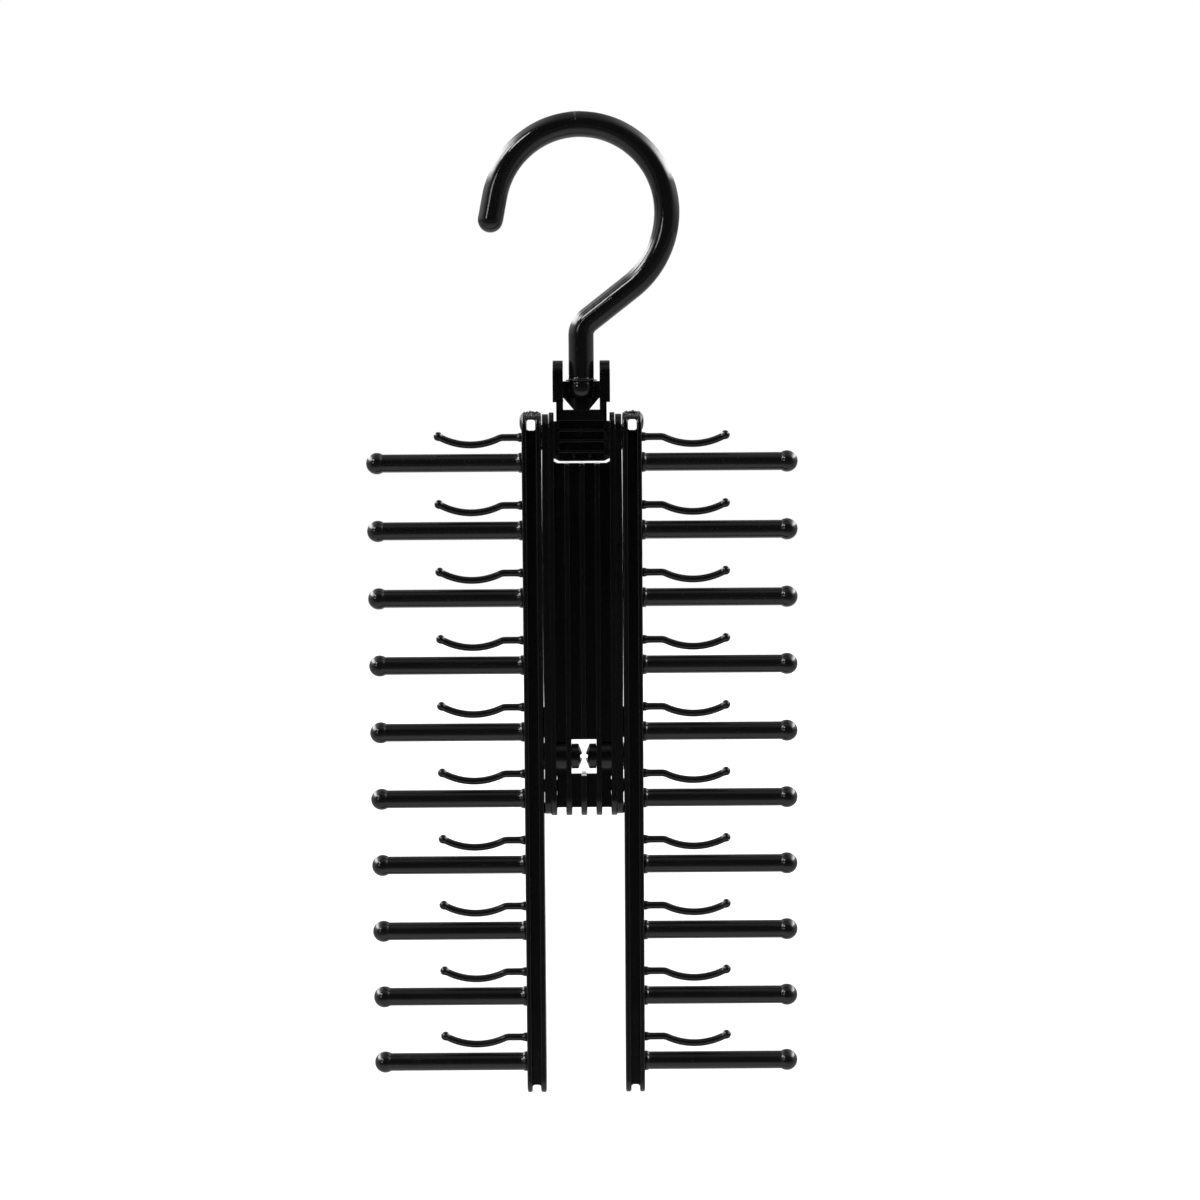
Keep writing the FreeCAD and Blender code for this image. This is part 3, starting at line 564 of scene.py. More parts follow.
ear_foot = SOCKET_Z - EAR_BELOW
funnel_z = SOCKET_Z - BOSS_HEIGHT
block_z = funnel_z - FUNNEL_HEIGHT
shoulder_z = block_z - SHOULDER_HEIGHT
deep = (-DEPTH, DEPTH)
arms = (-ARM_OUTER, ARM_OUTER)
bridge_deep = (-BRIDGE_HALF, BRIDGE_HALF)
bridge_wide = (SOCKET_RADIUS, EAR_INNER + FIN_THICKNESS)
half_fin = FIN_THICKNESS / 2
fin_z = block_z - FIN_BELOW - FIN_PITCH * np.arange(FIN_COUNT)
wall_inner = ARM_OUTER - POCKET_WALL
bay = (2 * wall_inner - (BAY_COUNT - 1) * FIN_THICKNESS) / BAY_COUNT
yoke_shells = [
    socket_wall(),
    funnel_plate(),
    block(arms, deep, (fin_z[0] - half_fin, block_z), YOKE_EDGE),
    slab(0, (-wall_inner, wall_inner), knuckle_outline(CORE_HALF, fin_z[0]), YOKE_EDGE),
    *[block(arms, deep, (z - half_fin, z + half_fin), YOKE_EDGE) for z in fin_z[1:]],
    *both(
        slab(0, (EAR_INNER, EAR_OUTER), ear_outline(), YOKE_EDGE),
        block((EAR_INNER, ARM_OUTER), deep, (block_z - FIN_THICKNESS, ear_foot + FIN_THICKNESS), YOKE_EDGE),
        block(bridge_wide, bridge_deep, (funnel_z, SOCKET_Z), YOKE_EDGE),
        bevelled(slab(0, (wall_inner, KNUCKLE_HALF), knuckle_outline(DEPTH, shoulder_z), YOKE_EDGE)),
        block((wall_inner, ARM_OUTER), deep, (shoulder_z - FIN_THICKNESS, block_z), YOKE_EDGE),
        slab(0, (bay / 2, bay / 2 + FIN_THICKNESS), knuckle_outline(DEPTH, fin_z[-1]), YOKE_EDGE),
    ),
]
frame_plastic = black_plastic("frame_plastic", **FRAME_FINISH)
moulding("yoke_moulding", yoke_shells, "yoke", "frame_black", frame_plastic, "yoke")


# Hinge pins: short turned-looking pins with flat heads, moulded in the same black plastic. Each is pushed
# through a side plate and a fork arm, and its end turns in the yoke's knuckle.
def dress(node, material):
    """Gives a solid that keeps its own shape the finish of its plastic."""
    solid = frame["nodes"][node].data
    solid.materials.clear()
    solid.materials.append(material)


for side in ("left", "right"):
    dress(f"{side}_hinge_pin", frame_plastic)


# Spine: a long moulded bar of five ribs on a thin web. The outer ribs run up as the fork that holds the
# yoke, two tubes between the ribs carry the rack pivots, and a window lets the pivot studs snap in.
spine_low, spine_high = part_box("spine")
PIVOT_Z = pivots["left_rack_swing"][2]
PIVOT_BORE = 0.00375
RIB_PITCH = 0.0053
RIB_HALF = 0.0009
RIB_EDGE = 0.0003
RIB_TOP_RADIUS = 0.001
RIB_SETBACK = 0.0007
WEB_HALF = 0.001
WEB_EDGE = 0.00003
WEB_GAP = 0.0006
WEB_INSET = 0.0029
GUSSET_RISE = 0.0006
GUSSET_RUN = 0.0013
TUBE_RADIUS = 0.0052
TUBE_SIDES = 56
WINDOW_ABOVE = 0.006
WINDOW_BELOW = 0.0062
SNAP_BELOW = 0.0104
SNAP_SLOT_WIDTH = 0.0002
SNAP_SLOT_HALF = 0.00335
FOOT_SWELL = 0.18
FOOT_SWELL_RISE = 0.0095
FOOT_SWELL_LENGTH = 0.006
FOOT_STRETCH = 1.28
FOOT_ROUND_SHARE = 1.05
STRIP_STEPS = 16
BORE_FAN = np.radians(np.linspace(-68, 76, 19))


def strip_outline(top, foot, top_radius, foot_radius, bore_z=None):
    """Seen from the side: an upright strip with its own corner radius at each end. Beside a bore, its long
    sides get points at even angles from the bore's middle."""
    beside = np.zeros(0) if bore_z is None else bore_z + DEPTH * np.tan(BORE_FAN)
    front = np.stack([np.full(len(beside), DEPTH), beside], 1)
    back = front[::-1] * (-1, 1)
    corners = [(-DEPTH, foot), (DEPTH, foot), *front, (DEPTH, top), (-DEPTH, top), *back]
    none = [0] * len(beside)
    radii = [foot_radius, foot_radius, *none, top_radius, top_radius, *none]
    return rounded(corners, radii, STRIP_STEPS)


def footed(shell):
    """Thickens a rib towards its foot: its points move away from its middle plane by a share that eases in.
    The round of the foot is drawn out upwards to half an ellipse."""
    x, y, z = np.moveaxis(shell[0], -1, 0)
    middle_x = (x.min() + x.max()) / 2
    share = np.clip((spine_low.z + FOOT_SWELL_RISE - z) / FOOT_SWELL_LENGTH, 0, 1)
    swell = 1 + FOOT_SWELL * share * share * (3 - 2 * share)
    rise = z - spine_low.z
    drawn_out = np.where(rise < FOOT_ROUND_SHARE * DEPTH, spine_low.z + FOOT_STRETCH * rise, z)
    return np.stack([middle_x + (x - middle_x) * swell, y, drawn_out], -1), *shell[1:]


def disc(z, radius, sides):
    """A circle about a sideways axis at a height, as an outline with its normals."""
    around = full_turn(sides)
    circle = np.stack([np.cos(around), np.sin(around)], -1)
    return (0, z) + radius * circle, circle


fork_inner = 2 * RIB_PITCH - RIB_HALF
middle_rib = (-RIB_HALF, RIB_HALF)
inner_rib = (RIB_PITCH - RIB_HALF, RIB_PITCH + RIB_HALF)
web = (-WEB_HALF, WEB_HALF)
web_top = yoke_low.z - WEB_GAP
web_foot = spine_low.z + WEB_INSET
window_top = PIVOT_Z + WINDOW_ABOVE
window_foot = PIVOT_Z - WINDOW_BELOW
pivot_bore = ((0, PIVOT_Z), PIVOT_BORE)
pivot_tube = (inner_rib[1] - RIB_EDGE, fork_inner + RIB_EDGE)
tube_top = PIVOT_Z + TUBE_RADIUS
tube_foot = PIVOT_Z - TUBE_RADIUS
snap_z = PIVOT_Z - SNAP_BELOW
slot_side = fork_inner - SNAP_SLOT_WIDTH
beside_tube = (RIB_PITCH, 2 * RIB_PITCH)
beside_slot = (slot_side - RIB_EDGE, 2 * RIB_PITCH)
upper_strip = strip_outline(web_top, window_top + RIB_SETBACK, RIB_TOP_RADIUS, RIB_EDGE)
lower_strip = strip_outline(window_foot, spine_low.z, RIB_EDGE, DEPTH)
inner_strip = strip_outline(web_top, spine_low.z, RIB_TOP_RADIUS, DEPTH, PIVOT_Z)
outer_strip = strip_outline(spine_high.z, spine_low.z, DEPTH, DEPTH, PIVOT_Z)
gusset = [
    (web_top + GUSSET_RISE, fork_inner),
    (web_top - RIB_EDGE, fork_inner),
    (web_top, fork_inner - GUSSET_RUN),
]
spine_shells = [
    slab(0, middle_rib, upper_strip, RIB_EDGE),
    footed(slab(0, middle_rib, lower_strip, RIB_EDGE)),
    block((-2 * RIB_PITCH, 2 * RIB_PITCH), web, (window_top, web_top), RIB_EDGE),
    block((-slot_side, slot_side), web, (web_foot, window_foot), RIB_EDGE),
    *both(
        footed(slab(0, inner_rib, inner_strip, RIB_EDGE, pivot_bore)),
        footed(slab(0, (fork_inner, spine_high.x), outer_strip, RIB_EDGE, pivot_bore)),
        slab(1, web, rounded(gusset, 0), 0),
        slab(0, pivot_tube, disc(PIVOT_Z, TUBE_RADIUS, TUBE_SIDES), RIB_EDGE, pivot_bore),
        block(beside_tube, web, (tube_top - RIB_EDGE, window_top + RIB_EDGE), WEB_EDGE),
        block(beside_tube, web, (window_foot - RIB_EDGE, tube_foot + RIB_EDGE), WEB_EDGE),
        block(beside_slot, web, (snap_z + SNAP_SLOT_HALF, window_foot), WEB_EDGE),
        block(beside_slot, web, (web_foot, snap_z - SNAP_SLOT_HALF), WEB_EDGE),
    ),
]
moulding("spine_moulding", spine_shells, "spine", "frame_black", frame_plastic, "spine")


# Side plates: thin moulded strips that cover the fork arms, bow a little outwards and keep the racks at a
# distance. A spacer strip and rings stand them off the ribs, the hinge pin and a snap peg hold them, and a
# low pad rubs on the rack bar.
PLATE_EDGE = 0.00022
PLATE_THICKNESS = 0.0018
PLATE_PACK = 0.00042
PLATE_INSET = 0.0006
PLATE_LEAN = 0.0001
PLATE_LEAN_LENGTH = 0.005
PIN_RING = 0.0045
RING_SIDES = 48
SPACER_INSET = 0.0045
SPACER_EDGE = 0.000022
PAD_HEIGHT = 0.00025
PAD_RISE = 0.00028
PAD_ABOVE = 0.0121
PAD_HALF_LENGTH = 0.0055
PAD_HALF_WIDTH = 0.003
PAD_STEPS = 12
FOOT_PAD_HEIGHT = 0.0036
SNAP_RADIUS = 0.0021
SNAP_HEAD = 0.0024
BOW_HEIGHT = 0.00028
BOW_HALF_WIDTH = 0.004
BOW_HALF_LENGTH = 0.047
SWELL_ROWS = 25
SWELL_SIDES = 32


def leaning(shell):
    """Draws the plate's inner face off the rib towards its top, by an amount that grows with the height."""
    x, y, z = np.moveaxis(shell[0], -1, 0)
    share = np.clip((z - plate_top + PLATE_LEAN_LENGTH) / PLATE_LEAN_LENGTH, 0, 1)
    return np.stack([np.maximum(x, plate_inner + PLATE_LEAN * share), y, z], -1), *shell[1:]


def swelling(centre, reach):
    """A low swelling of a face: an ellipsoid, sunk in the face up to its middle."""
    polar = np.linspace(-np.arccos(POLE_SHARE), np.arccos(POLE_SHARE), SWELL_ROWS)[:, None]
    around = full_turn(SWELL_SIDES)
    ball = [np.cos(polar) * np.cos(around), np.cos(polar) * np.sin(around), np.sin(polar) + 0 * around]
    points = np.asarray(centre) + np.asarray(reach) * np.stack(ball, -1)
    return points, np.zeros_like(points), False


def pair(node, shells, body, slot, material):
    """The right-hand piece for a node, and its mirror image for the left-hand node."""
    for side, made in (("right", shells), ("left", [mirrored(shell) for shell in shells])):
        own = node.replace("right", side)
        moulding(f"{own}_moulding", made, body.replace("right", side), slot, material, own)


plate_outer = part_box("right_side_plate")[1].x - PAD_HEIGHT
plate_inner = plate_outer - PLATE_THICKNESS - PLATE_PACK
plate_top = spine_high.z - PLATE_INSET
plate_foot = spine_low.z + PLATE_INSET
plate_strip = strip_outline(plate_top, plate_foot, DEPTH, DEPTH, PIVOT_Z)
spacer_foot = plate_foot + PLATE_INSET
stand_off = (spine_high.x, plate_inner + PLATE_EDGE)
on_plate = (plate_outer - PLATE_EDGE, plate_outer + PAD_RISE)
pad_wide = (-PAD_HALF_WIDTH, PAD_HALF_WIDTH)
pad_z = PIVOT_Z + PAD_ABOVE
pad_corners = oblong(pad_wide, (pad_z - PAD_HALF_LENGTH, pad_z + PAD_HALF_LENGTH))
bow_centre = (plate_outer, 0, (HINGE_Z + pad_z) / 2)
plate_shells = [
    leaning(slab(0, (plate_inner, plate_outer), plate_strip, PLATE_EDGE, pivot_bore)),
    slab(0, stand_off, disc(HINGE_Z, PIN_RING, RING_SIDES), PLATE_EDGE),
    slab(0, stand_off, disc(PIVOT_Z, TUBE_RADIUS, RING_SIDES), PLATE_EDGE, pivot_bore),
    slab(0, on_plate, rounded(pad_corners, PAD_HALF_WIDTH, PAD_STEPS), PLATE_EDGE),
    block(stand_off, web, (PIVOT_Z + PIN_RING, spine_high.z - SPACER_INSET), SPACER_EDGE),
    block(stand_off, web, (spacer_foot, PIVOT_Z - PIN_RING), SPACER_EDGE),
    slab(0, (slot_side, plate_inner + PLATE_EDGE), disc(snap_z, SNAP_RADIUS, RING_SIDES), PLATE_EDGE),
    slab(0, on_plate, disc(snap_z, SNAP_HEAD, RING_SIDES), PLATE_EDGE),
    swelling(bow_centre, (BOW_HEIGHT, BOW_HALF_WIDTH, BOW_HALF_LENGTH)),
    block(on_plate, pad_wide, (spacer_foot, plate_foot + FOOT_PAD_HEIGHT), PLATE_EDGE),
]
pair("right_side_plate", plate_shells, "spine", "frame_black", frame_plastic)


# Rack bars: long moulded bars of two flanges and a recessed web, with full-round ends. The web stops short
# of the foot, and at the top an eyelet is left under a small bridge where the bar was cut from its runner.
bar_low, bar_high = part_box("right_rack_bar")
INNER_FLANGE = 0.0019
OUTER_FLANGE = 0.0018
FLANGE_EDGE = 0.0007
BAR_PACK = 0.0001
NOTCH = 0.0027
EYELET_WALL = 0.0025
EYELET_HEIGHT = 0.0038
EYELET_CORNER = 0.0008
FILLET_STEPS = 9
BRIDGE_STEPS = 25
BRIDGE_SHARE = 0.8
STUB_HEIGHT = 0.0008
STUB_SUNK = 0.00008
STUB_SPREAD = 0.0029
STUB_DEPTH = 0.0018
STUB_LEVEL = 0.62
STUB_WAVES = ((0.2, 7, 1, 0), (0.14, 17, 0, 0), (0.1, 31, 0, 5))
STUB_END = 0.0001
STUB_ROWS = 49
STUB_SIDES = 28
SWELL_HEIGHT = 0.0008
SWELL_DEPTH = 0.0036
SWELL_LENGTH = 0.0028
SWELL_BELOW = 0.0034
TORN_PLASTIC = (0.2, 0.197, 0.175, 1)
TORN_DULLNESS = 0.3
TORN_BELOW = 0.0022
CRUMB_SCALE = 1300
CRUMB_FADE = (0.46, 0.6)
CRUMB_HEIGHT = 0.00025


def corner_fillet(depth, corner, along_z, along_x):
    """A hollow fillet in a corner of a see-through opening, carried through the depth: the corner itself,
    then a quarter arc whose middle lies one radius out along both sides."""
    swing = np.linspace(0, np.pi / 2, FILLET_STEPS)
    reach = EYELET_CORNER * (1 - np.stack([np.sin(swing), np.cos(swing)], 1))
    outline = np.concatenate([[(0, 0)], reach[::-1]]) * (along_z, along_x)
    return slab(1, depth, rounded((corner + outline)[::-along_z * along_x], 0), 0)


def runner_stub():
    """The torn stub of a moulding runner on the bridge: a low mound along the bar's width whose height
    wavers with three sines, rounded off to nothing at its rim. A sine has a strength, its rate along the
    mound, a lead, and its turns round the mound."""
    along = np.linspace(-1, 1, STUB_ROWS)[:, None]
    around = full_turn(STUB_SIDES)
    waver = STUB_LEVEL
    for strength, rate, lead, twist in STUB_WAVES:
        waver = waver + strength * np.sin(rate * along + lead + twist * around)
    rim = np.sqrt(1 + STUB_END - along ** 2)
    x = (between[0] + between[1]) / 2 + STUB_SPREAD * along + 0 * around
    y = STUB_DEPTH * rim * np.cos(around)
    z = bar_high.z - STUB_SUNK + STUB_HEIGHT * rim * waver * np.sin(around)
    points = np.stack([x, y, z], -1)
    return points, np.zeros_like(points), False


def bridge_outline():
    """Seen from the side: the cap of the bar's round end above a level cut."""
    reach = np.arccos(1 - EYELET_WALL / DEPTH)
    swing = np.linspace(-reach, reach, BRIDGE_STEPS)
    arc = np.stack([-DEPTH * np.sin(swing), bar_high.z - DEPTH * (1 - np.cos(swing))], 1)
    return rounded(arc, [PLATE_EDGE, *np.zeros(BRIDGE_STEPS - 2), PLATE_EDGE], RIM_STEPS)


def parts_of(tree, vector):
    """The three coordinates of a vector socket."""
    node = tree.nodes.new("ShaderNodeSeparateXYZ")
    tree.links.new(vector, node.inputs["Vector"])
    return node.outputs["X"], node.outputs["Y"], node.outputs["Z"]


def torn_top(material, limits):
    """Around the torn stub the plastic is paler and rougher: a noise of crumbs that eases in with height."""
    tree = material.node_tree
    shader = tree.nodes["Principled BSDF"]
    where = tree.nodes.new("ShaderNodeTexCoord").outputs["Object"]
    noise = tree.nodes.new("ShaderNodeTexNoise")
    noise.inputs["Scale"].default_value = CRUMB_SCALE
    noise.inputs["Detail"].default_value = 3
    tree.links.new(where, noise.inputs["Vector"])
    crumbs = fade(tree, noise.outputs["Fac"], CRUMB_FADE)
    torn = figure(tree, "MULTIPLY", crumbs, fade(tree, parts_of(tree, where)[2], limits))
    raised = tree.nodes.new("ShaderNodeBump")
    raised.inputs["Distance"].default_value = CRUMB_HEIGHT
    black = shader.inputs["Base Color"].links[0].from_socket
    smooth = shader.inputs["Roughness"].links[0].from_socket
    tree.links.new(chosen(tree, "RGBA", torn, black, TORN_PLASTIC), shader.inputs["Base Color"])
    tree.links.new(figure(tree, "MULTIPLY_ADD", torn, TORN_DULLNESS, smooth), shader.inputs["Roughness"])
    tree.links.new(torn, raised.inputs["Height"])
    tree.links.new(shader.inputs["Normal"].links[0].from_socket, raised.inputs["Normal"])
    tree.links.new(raised.outputs["Normal"], shader.inputs["Normal"])


between = (bar_low.x + INNER_FLANGE, bar_high.x - OUTER_FLANGE)
overlap = (between[0] - FLANGE_EDGE, between[1] + FLANGE_EDGE)
bar_strip = strip_outline(bar_high.z, bar_low.z, DEPTH, DEPTH)
eyelet_top = bar_high.z - EYELET_WALL
eyelet_foot = eyelet_top - EYELET_HEIGHT
notch_top = bar_low.z + NOTCH
under_bridge = (-BRIDGE_SHARE * DEPTH, BRIDGE_SHARE * DEPTH)
swell_centre = (bar_high.x, 0, bar_high.z - SWELL_BELOW)
bar_shells = [
    slab(0, (bar_low.x - BAR_PACK, between[0]), bar_strip, FLANGE_EDGE),
    slab(0, (between[1], bar_high.x), bar_strip, FLANGE_EDGE),
    block(overlap, web, (notch_top, eyelet_foot), PLATE_EDGE),
    slab(0, overlap, bridge_outline(), PLATE_EDGE),
    runner_stub(),
    swelling(swell_centre, (SWELL_HEIGHT, SWELL_DEPTH, SWELL_LENGTH)),
]
for depth, height, along_z in ((web, eyelet_foot, 1), (under_bridge, eyelet_top, -1), (web, notch_top, -1)):
    bar_shells += [
        corner_fillet(depth, (height, between[0]), along_z, 1),
        corner_fillet(depth, (height, between[1]), along_z, -1),
    ]
rack_plastic = black_plastic("rack_plastic", **FRAME_FINISH)
torn_top(rack_plastic, (bar_high.z - TORN_BELOW, bar_high.z))
pair("right_rack_bar", bar_shells, "right_rack", "rack_black", rack_plastic)


# Pivot studs: shouldered snap studs pushed into the rack bars. Their split, barbed tips stand behind the
# spine's inner ribs and show in its window.
for side in ("left", "right"):
    dress(f"{side}_pivot_stud", frame_plastic)


# Tie pegs: plain round rods of glossy black plastic with a ball end and a small collar at the root, moulded
# with a parting ridge along top and bottom, and pushed into the rack bar by a spigot.
PEG_RADIUS = 0.00315
PEG_BALL = 0.00375
PEG_SPIGOT = 0.0022
COLLAR_RADIUS = 0.0035
COLLAR_LENGTH = 0.0009
COLLAR_FILLET = 0.0006
BALL_FILLET = 0.0007
PEG_RIDGE = 0.00003
PEG_SIDES = 48
PEG_BALL_ROWS = 26
PEG_SHANK_ROWS = 24
PEG_FILLET_ROWS = 7
PEG_FINISH = {
    "dark": (0.0068, 0.0068, 0.0075), "pale": (0.0102, 0.0102, 0.0112), "gloss": 0.11, "dull": 0.19,
    "peel": 0.00001, "scratch": 0.2, "stretch": (120, 900, 900),
}


def peg_shell(root, end, spigot, z):
    """Rings along a peg: the spigot, the collar and its hollow fillet, the shank, and the ball end, whose
    radius is the root of the ball's squared radius less the squared distance from its middle."""
    ball_x = end - PEG_BALL
    meet = np.sqrt(PEG_BALL ** 2 - PEG_RADIUS ** 2)
    swing = np.linspace(-np.arctan2(meet, PEG_RADIUS), np.arccos(POLE_SHARE), PEG_BALL_ROWS)
    fall = np.linspace(0, np.pi / 2, PEG_FILLET_ROWS)
    fillet_x = root + COLLAR_LENGTH + COLLAR_FILLET * np.sin(fall)
    fillet_radius = PEG_RADIUS + (COLLAR_RADIUS - PEG_RADIUS) * (1 - np.sin(fall))
    shank_x = np.linspace(fillet_x[-1], ball_x - meet - BALL_FILLET, PEG_SHANK_ROWS)[1:]
    x = np.concatenate([
        [spigot, root, root, root + COLLAR_LENGTH / 2],
        fillet_x,
        shank_x,
        ball_x + PEG_BALL * np.sin(swing),
    ])
    radius = np.concatenate([
        [PEG_SPIGOT, PEG_SPIGOT, COLLAR_RADIUS, COLLAR_RADIUS],
        fillet_radius,
        np.full(len(shank_x), PEG_RADIUS),
        PEG_BALL * np.cos(swing),
    ])[:, None]
    angles = ring_angles(PEG_SIDES, RIDGE_WIDTH / PEG_RADIUS)
    radii = radius + parting_ridge(angles, PEG_RADIUS, PEG_RIDGE) * (radius >= PEG_RADIUS)
    return tube(np.stack([x, np.full_like(x, z)], 1), np.zeros_like(x), radii, angles)


peg_plastic = black_plastic("peg_plastic", **PEG_FINISH)
for node in [name for name in frame["nodes"] if name.startswith("right_tie_peg_")]:
    low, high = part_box(node)
    shell = peg_shell(bar_high.x, high.x, low.x, (low.z + high.z) / 2)
    pair(node, [shell], "right_rack", "peg_black", peg_plastic)


# Belt hooks: thin arms above each peg, moulded in the same glossy black. Each leaves the bar straight, dips
# in a shallow bow and ends in a small ball, so that a buckle can hang on it.
BELT_RADIUS = 0.00125
BELT_SPIGOT = 0.001
BELT_COLLAR = 0.0016
BELT_COLLAR_LENGTH = 0.001
BELT_STRAIGHT = 0.0065
BELT_KINK = 0.004
BELT_BOW = 0.0229
BELT_SAG = 0.0025
BELT_LIFT = 0.0005
BELT_BALL = 0.0016
BELT_STEP = 0.0004
BELT_SIDES = 28
BELT_BALL_ROWS = 9


def belt_shell(root, spigot, z):
    """Spigot and collar, then a thin rod along a straight, a kink down and a bow up, swelling to a ball:
    each ring's radius is the rod's, or the ball's where that is larger."""
    turn = np.arccos(1 - BELT_SAG / (BELT_BOW + BELT_KINK))
    rise = np.arccos((BELT_BOW - BELT_SAG - BELT_LIFT) / BELT_BOW)
    start = root + BELT_COLLAR_LENGTH
    points, headings, along = trail((start, z), 0, [
        (BELT_STRAIGHT - BELT_COLLAR_LENGTH, 0, BELT_STEP),
        (BELT_KINK * turn, -turn, BELT_STEP / 2),
        (BELT_BOW * (turn + rise), turn + rise, BELT_STEP),
    ])
    swing = np.linspace(0, np.arccos(POLE_SHARE), BELT_BALL_ROWS)[1:]
    end_way = np.array([np.cos(headings[-1]), np.sin(headings[-1])])
    cap = points[-1] + BELT_BALL * np.sin(swing[:, None]) * end_way
    to_ball = along[-1] - along
    swell = np.sqrt(np.clip(BELT_BALL ** 2 - to_ball ** 2, 0, None))
    root_flare = (BELT_COLLAR - BELT_RADIUS) * np.exp(-along / BELT_STEP)
    rod = np.maximum(BELT_RADIUS + root_flare, swell)
    collar = np.array([(spigot, z), (root, z), (root, z), (start - BELT_STEP, z)])
    collar_radii = [BELT_SPIGOT, BELT_SPIGOT, BELT_COLLAR, BELT_COLLAR]
    all_points = np.concatenate([collar, points, cap])
    all_headings = np.concatenate([np.zeros(len(collar)), headings, np.full(len(cap), headings[-1])])
    radii = np.concatenate([collar_radii, rod, BELT_BALL * np.cos(swing)])
    return tube(all_points, all_headings, radii[:, None], full_turn(BELT_SIDES))


for node in [name for name in frame["nodes"] if name.startswith("right_belt_hook_")]:
    low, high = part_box(node)
    shell = belt_shell(bar_high.x, low.x, high.z - BELT_BALL - BELT_LIFT)
    pair(node, [shell], "right_rack", "peg_black", peg_plastic)


# Studio: a white floor well below the hanging part and a white surround that is dark towards the camera. A
# tall soft box at each side and three small lights in front on the left show in reflections only. Two lamps
# stand at the sides, and the camera looks a little down.
FLOOR_Z = -0.62
FLOOR_HALF = 4.0
FLOOR_WHITE = (0.8, 0.8, 0.8, 1)
FLOOR_ROUGHNESS = 0.9
FLOOR_LIFT = (0.2, 0.75)
FLOOR_LIFT_REACH = (0.6, 2.5)
FLOOR_GLOW = 0.62
FLOOR_GLOW_REACH = (-1, -0.35)
FLOOR_GLOW_SIDES = (0.1, 0.9)
FLOOR_SIDE_SHARE = 0.6
AMBIENT = 0.5
SURROUND = 0.3
SURROUND_FADE = (-0.8, -0.3)
BACKDROP = 1.2
BACKDROP_FADE = (0.9, 0.97)
BOX_LEANS = np.radians([(-70, -60, -52, -35), (34, 62, 62, 69)])
BOX_GLOW = 11
BOX_FRONT_FADE = (-0.5, 0)
BOX_BACK_FADE = (0.25, 1)
BOX_BACK_SHARE = 0.15
SPILL_LEAN = np.radians(52)
SPILL_GLOW = 1.4
SPILL_FADE = np.radians((8, 45))
FRONT_LIGHTS = (((-0.5, -0.6, 0.62), 12), ((-0.7, -0.33, 0.63), 10), ((-0.58, -0.79, 0.21), 5))
FRONT_LIGHT_FADE = (0.9915, 0.9965)
LAMP_WAY = (0.62, 0.3, 0.72)
LAMP_DISTANCE = 1.1
LAMP_WIDTH = 0.5
LAMP_LENGTH = 0.8
LAMP_POWER = 12
AIM = Vector((0.006, 0, -0.1604))
CAMERA_DISTANCE = 0.9
CAMERA_ELEVATION = np.radians(5.4)
CAMERA_ROLL = np.radians(-0.38)
CAMERA_LENS = 77


floor_mesh = bpy.data.meshes.new("floor")
floor_mesh.from_pydata(
    [(x * FLOOR_HALF, y * FLOOR_HALF, FLOOR_Z) for x, y in ((-1, -1), (1, -1), (1, 1), (-1, 1))],
    [], [(0, 1, 2, 3)],
)
floor = bpy.data.objects.new("floor", floor_mesh)
bpy.context.scene.collection.objects.link(floor)
floor_paint = bpy.data.materials.new("floor_paint")
floor_paint.use_nodes = True
tree = floor_paint.node_tree
paint = tree.nodes["Principled BSDF"]
paint.inputs["Roughness"].default_value = FLOOR_ROUGHNESS
paint.inputs["Emission Color"].default_value = (1, 1, 1, 1)
rays = tree.nodes.new("ShaderNodeLightPath")
ground = tree.nodes.new("ShaderNodeTexCoord").outputs["Object"]
ground_x, ground_y = parts_of(tree, ground)[:2]
reach = tree.nodes.new("ShaderNodeVectorMath")
reach.operation = "LENGTH"
tree.links.new(ground, reach.inputs[0])
lift = fade(tree, reach.outputs["Value"], FLOOR_LIFT_REACH, *FLOOR_LIFT)
sides = fade(tree, figure(tree, "ABSOLUTE", ground_x), FLOOR_GLOW_SIDES, 1, FLOOR_SIDE_SHARE)
glow = figure(tree, "MULTIPLY", fade(tree, ground_y, FLOOR_GLOW_REACH, 0, FLOOR_GLOW), sides)
seen = figure(tree, "MULTIPLY", lift, rays.outputs["Is Camera Ray"])
reflected_glow = figure(tree, "MULTIPLY", glow, rays.outputs["Is Glossy Ray"])
tree.links.new(figure(tree, "ADD", seen, reflected_glow), paint.inputs["Emission Strength"])
white = chosen(tree, "RGBA", rays.outputs["Is Glossy Ray"], FLOOR_WHITE, (0, 0, 0, 1))
tree.links.new(white, paint.inputs["Base Color"])
floor_mesh.materials.append(floor_paint)

world = bpy.data.worlds.new("surround")
bpy.context.scene.world = world
world.use_nodes = True
tree = world.node_tree
sky = tree.nodes["Background"]
sky.inputs["Color"].default_value = (1, 1, 1, 1)
rays = tree.nodes.new("ShaderNodeLightPath")
way = tree.nodes.new("ShaderNodeTexCoord").outputs["Generated"]
way_x, way_y, way_z = parts_of(tree, way)
lean = figure(tree, "ARCTAN2", way_x, way_z)
aside = figure(tree, "ABSOLUTE", figure(tree, "SUBTRACT", figure(tree, "ABSOLUTE", lean), SPILL_LEAN))
boxes = fade(tree, aside, SPILL_FADE, SPILL_GLOW, 0)
for start, full, fall, end in BOX_LEANS:
    rising = fade(tree, lean, (start, full), 0, BOX_GLOW)
    falling = fade(tree, lean, (fall, end), 1, 0)
    boxes = figure(tree, "ADD", boxes, figure(tree, "MULTIPLY", rising, falling))
boxes = figure(tree, "MULTIPLY", boxes, fade(tree, way_y, BOX_FRONT_FADE))
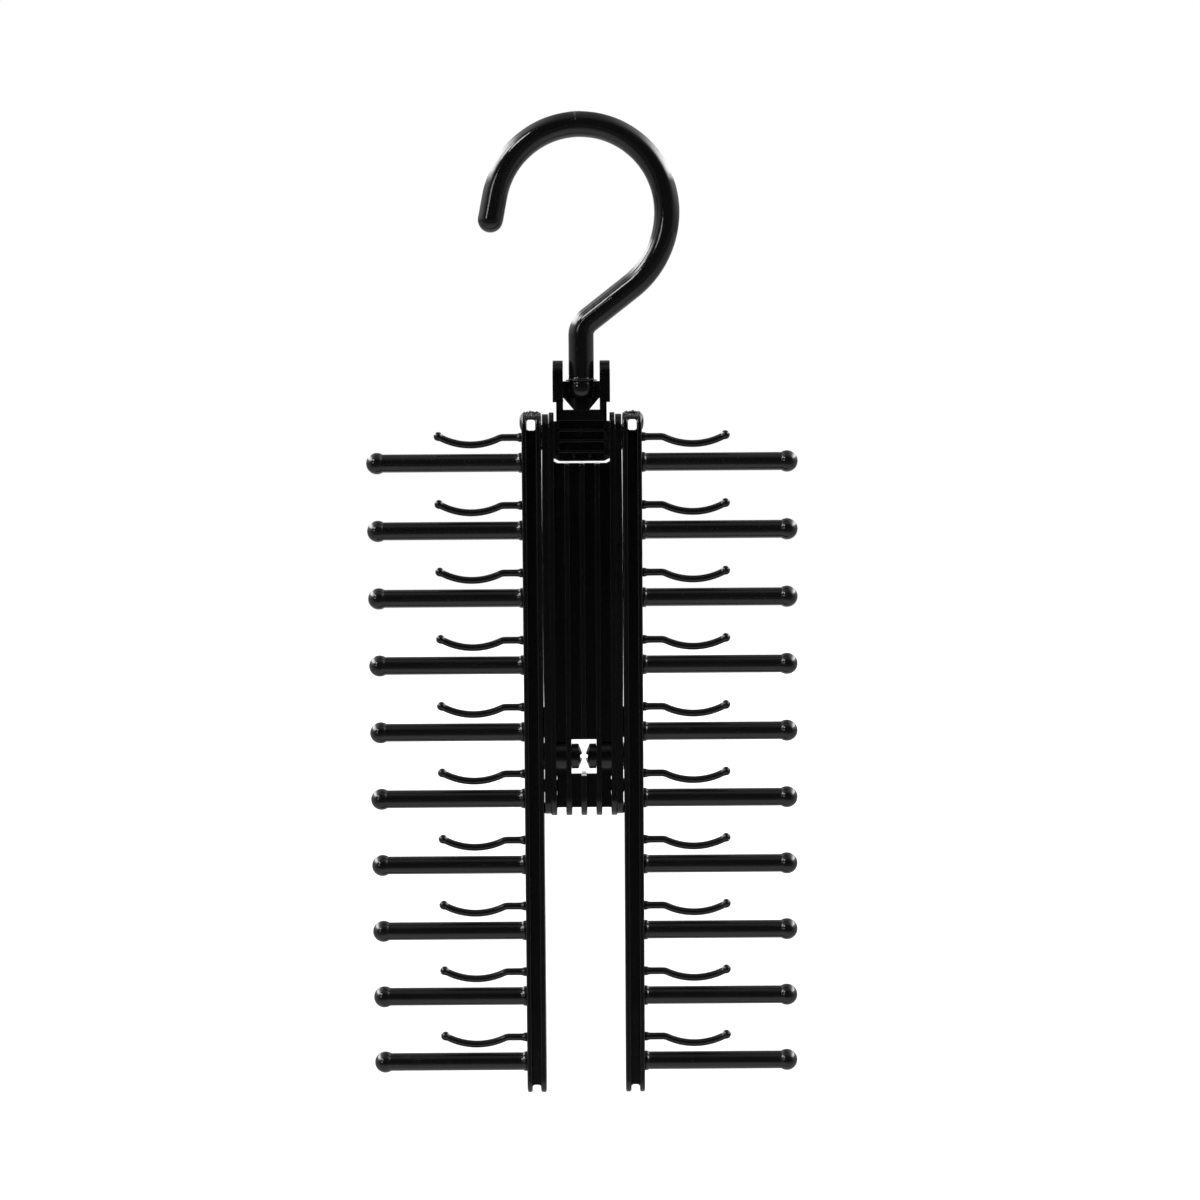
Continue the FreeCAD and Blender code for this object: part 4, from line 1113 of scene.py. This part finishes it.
boxes = figure(tree, "MULTIPLY", boxes, fade(tree, way_y, BOX_BACK_FADE, 1, BOX_BACK_SHARE))
for light_way, light_glow in FRONT_LIGHTS:
    towards = tree.nodes.new("ShaderNodeVectorMath")
    towards.operation = "DOT_PRODUCT"
    towards.inputs[1].default_value = Vector(light_way).normalized()
    tree.links.new(way, towards.inputs[0])
    boxes = figure(tree, "ADD", boxes, fade(tree, towards.outputs["Value"], FRONT_LIGHT_FADE, 0, light_glow))
surround = fade(tree, way_y, SURROUND_FADE, 0, SURROUND)
backdrop = fade(tree, way_y, BACKDROP_FADE, 0, BACKDROP)
reflected = figure(tree, "ADD", boxes, figure(tree, "ADD", surround, backdrop))
strength = AMBIENT
for ray, level in (("Is Glossy Ray", reflected), ("Is Transmission Ray", 1), ("Is Camera Ray", 1)):
    strength = chosen(tree, "FLOAT", rays.outputs[ray], strength, level)
tree.links.new(strength, sky.inputs["Strength"])

for name, hand in (("left_lamp", -1), ("right_lamp", 1)):
    lamp = bpy.data.lights.new(name, "AREA")
    lamp.shape = "RECTANGLE"
    lamp.size = LAMP_WIDTH
    lamp.size_y = LAMP_LENGTH
    lamp.energy = LAMP_POWER
    holder = bpy.data.objects.new(name, lamp)
    way_out = Vector((hand * LAMP_WAY[0], LAMP_WAY[1], LAMP_WAY[2])).normalized()
    holder.location = AIM + way_out * LAMP_DISTANCE
    holder.rotation_euler = (-way_out).to_track_quat("-Z", "Y").to_euler()
    holder.visible_camera = False
    holder.visible_glossy = False
    bpy.context.scene.collection.objects.link(holder)

lens = bpy.data.cameras.new("camera")
lens.lens = CAMERA_LENS
camera = bpy.data.objects.new("camera", lens)
bpy.context.scene.collection.objects.link(camera)
back = Vector((0, -np.cos(CAMERA_ELEVATION), np.sin(CAMERA_ELEVATION)))
camera.location = AIM + back * CAMERA_DISTANCE
facing = (-back).to_track_quat("-Z", "Y").to_matrix().to_4x4()
camera.rotation_euler = (facing @ Matrix.Rotation(CAMERA_ROLL, 4, "Z")).to_euler()
bpy.context.scene.camera = camera
bpy.context.scene.view_settings.view_transform = "Standard"
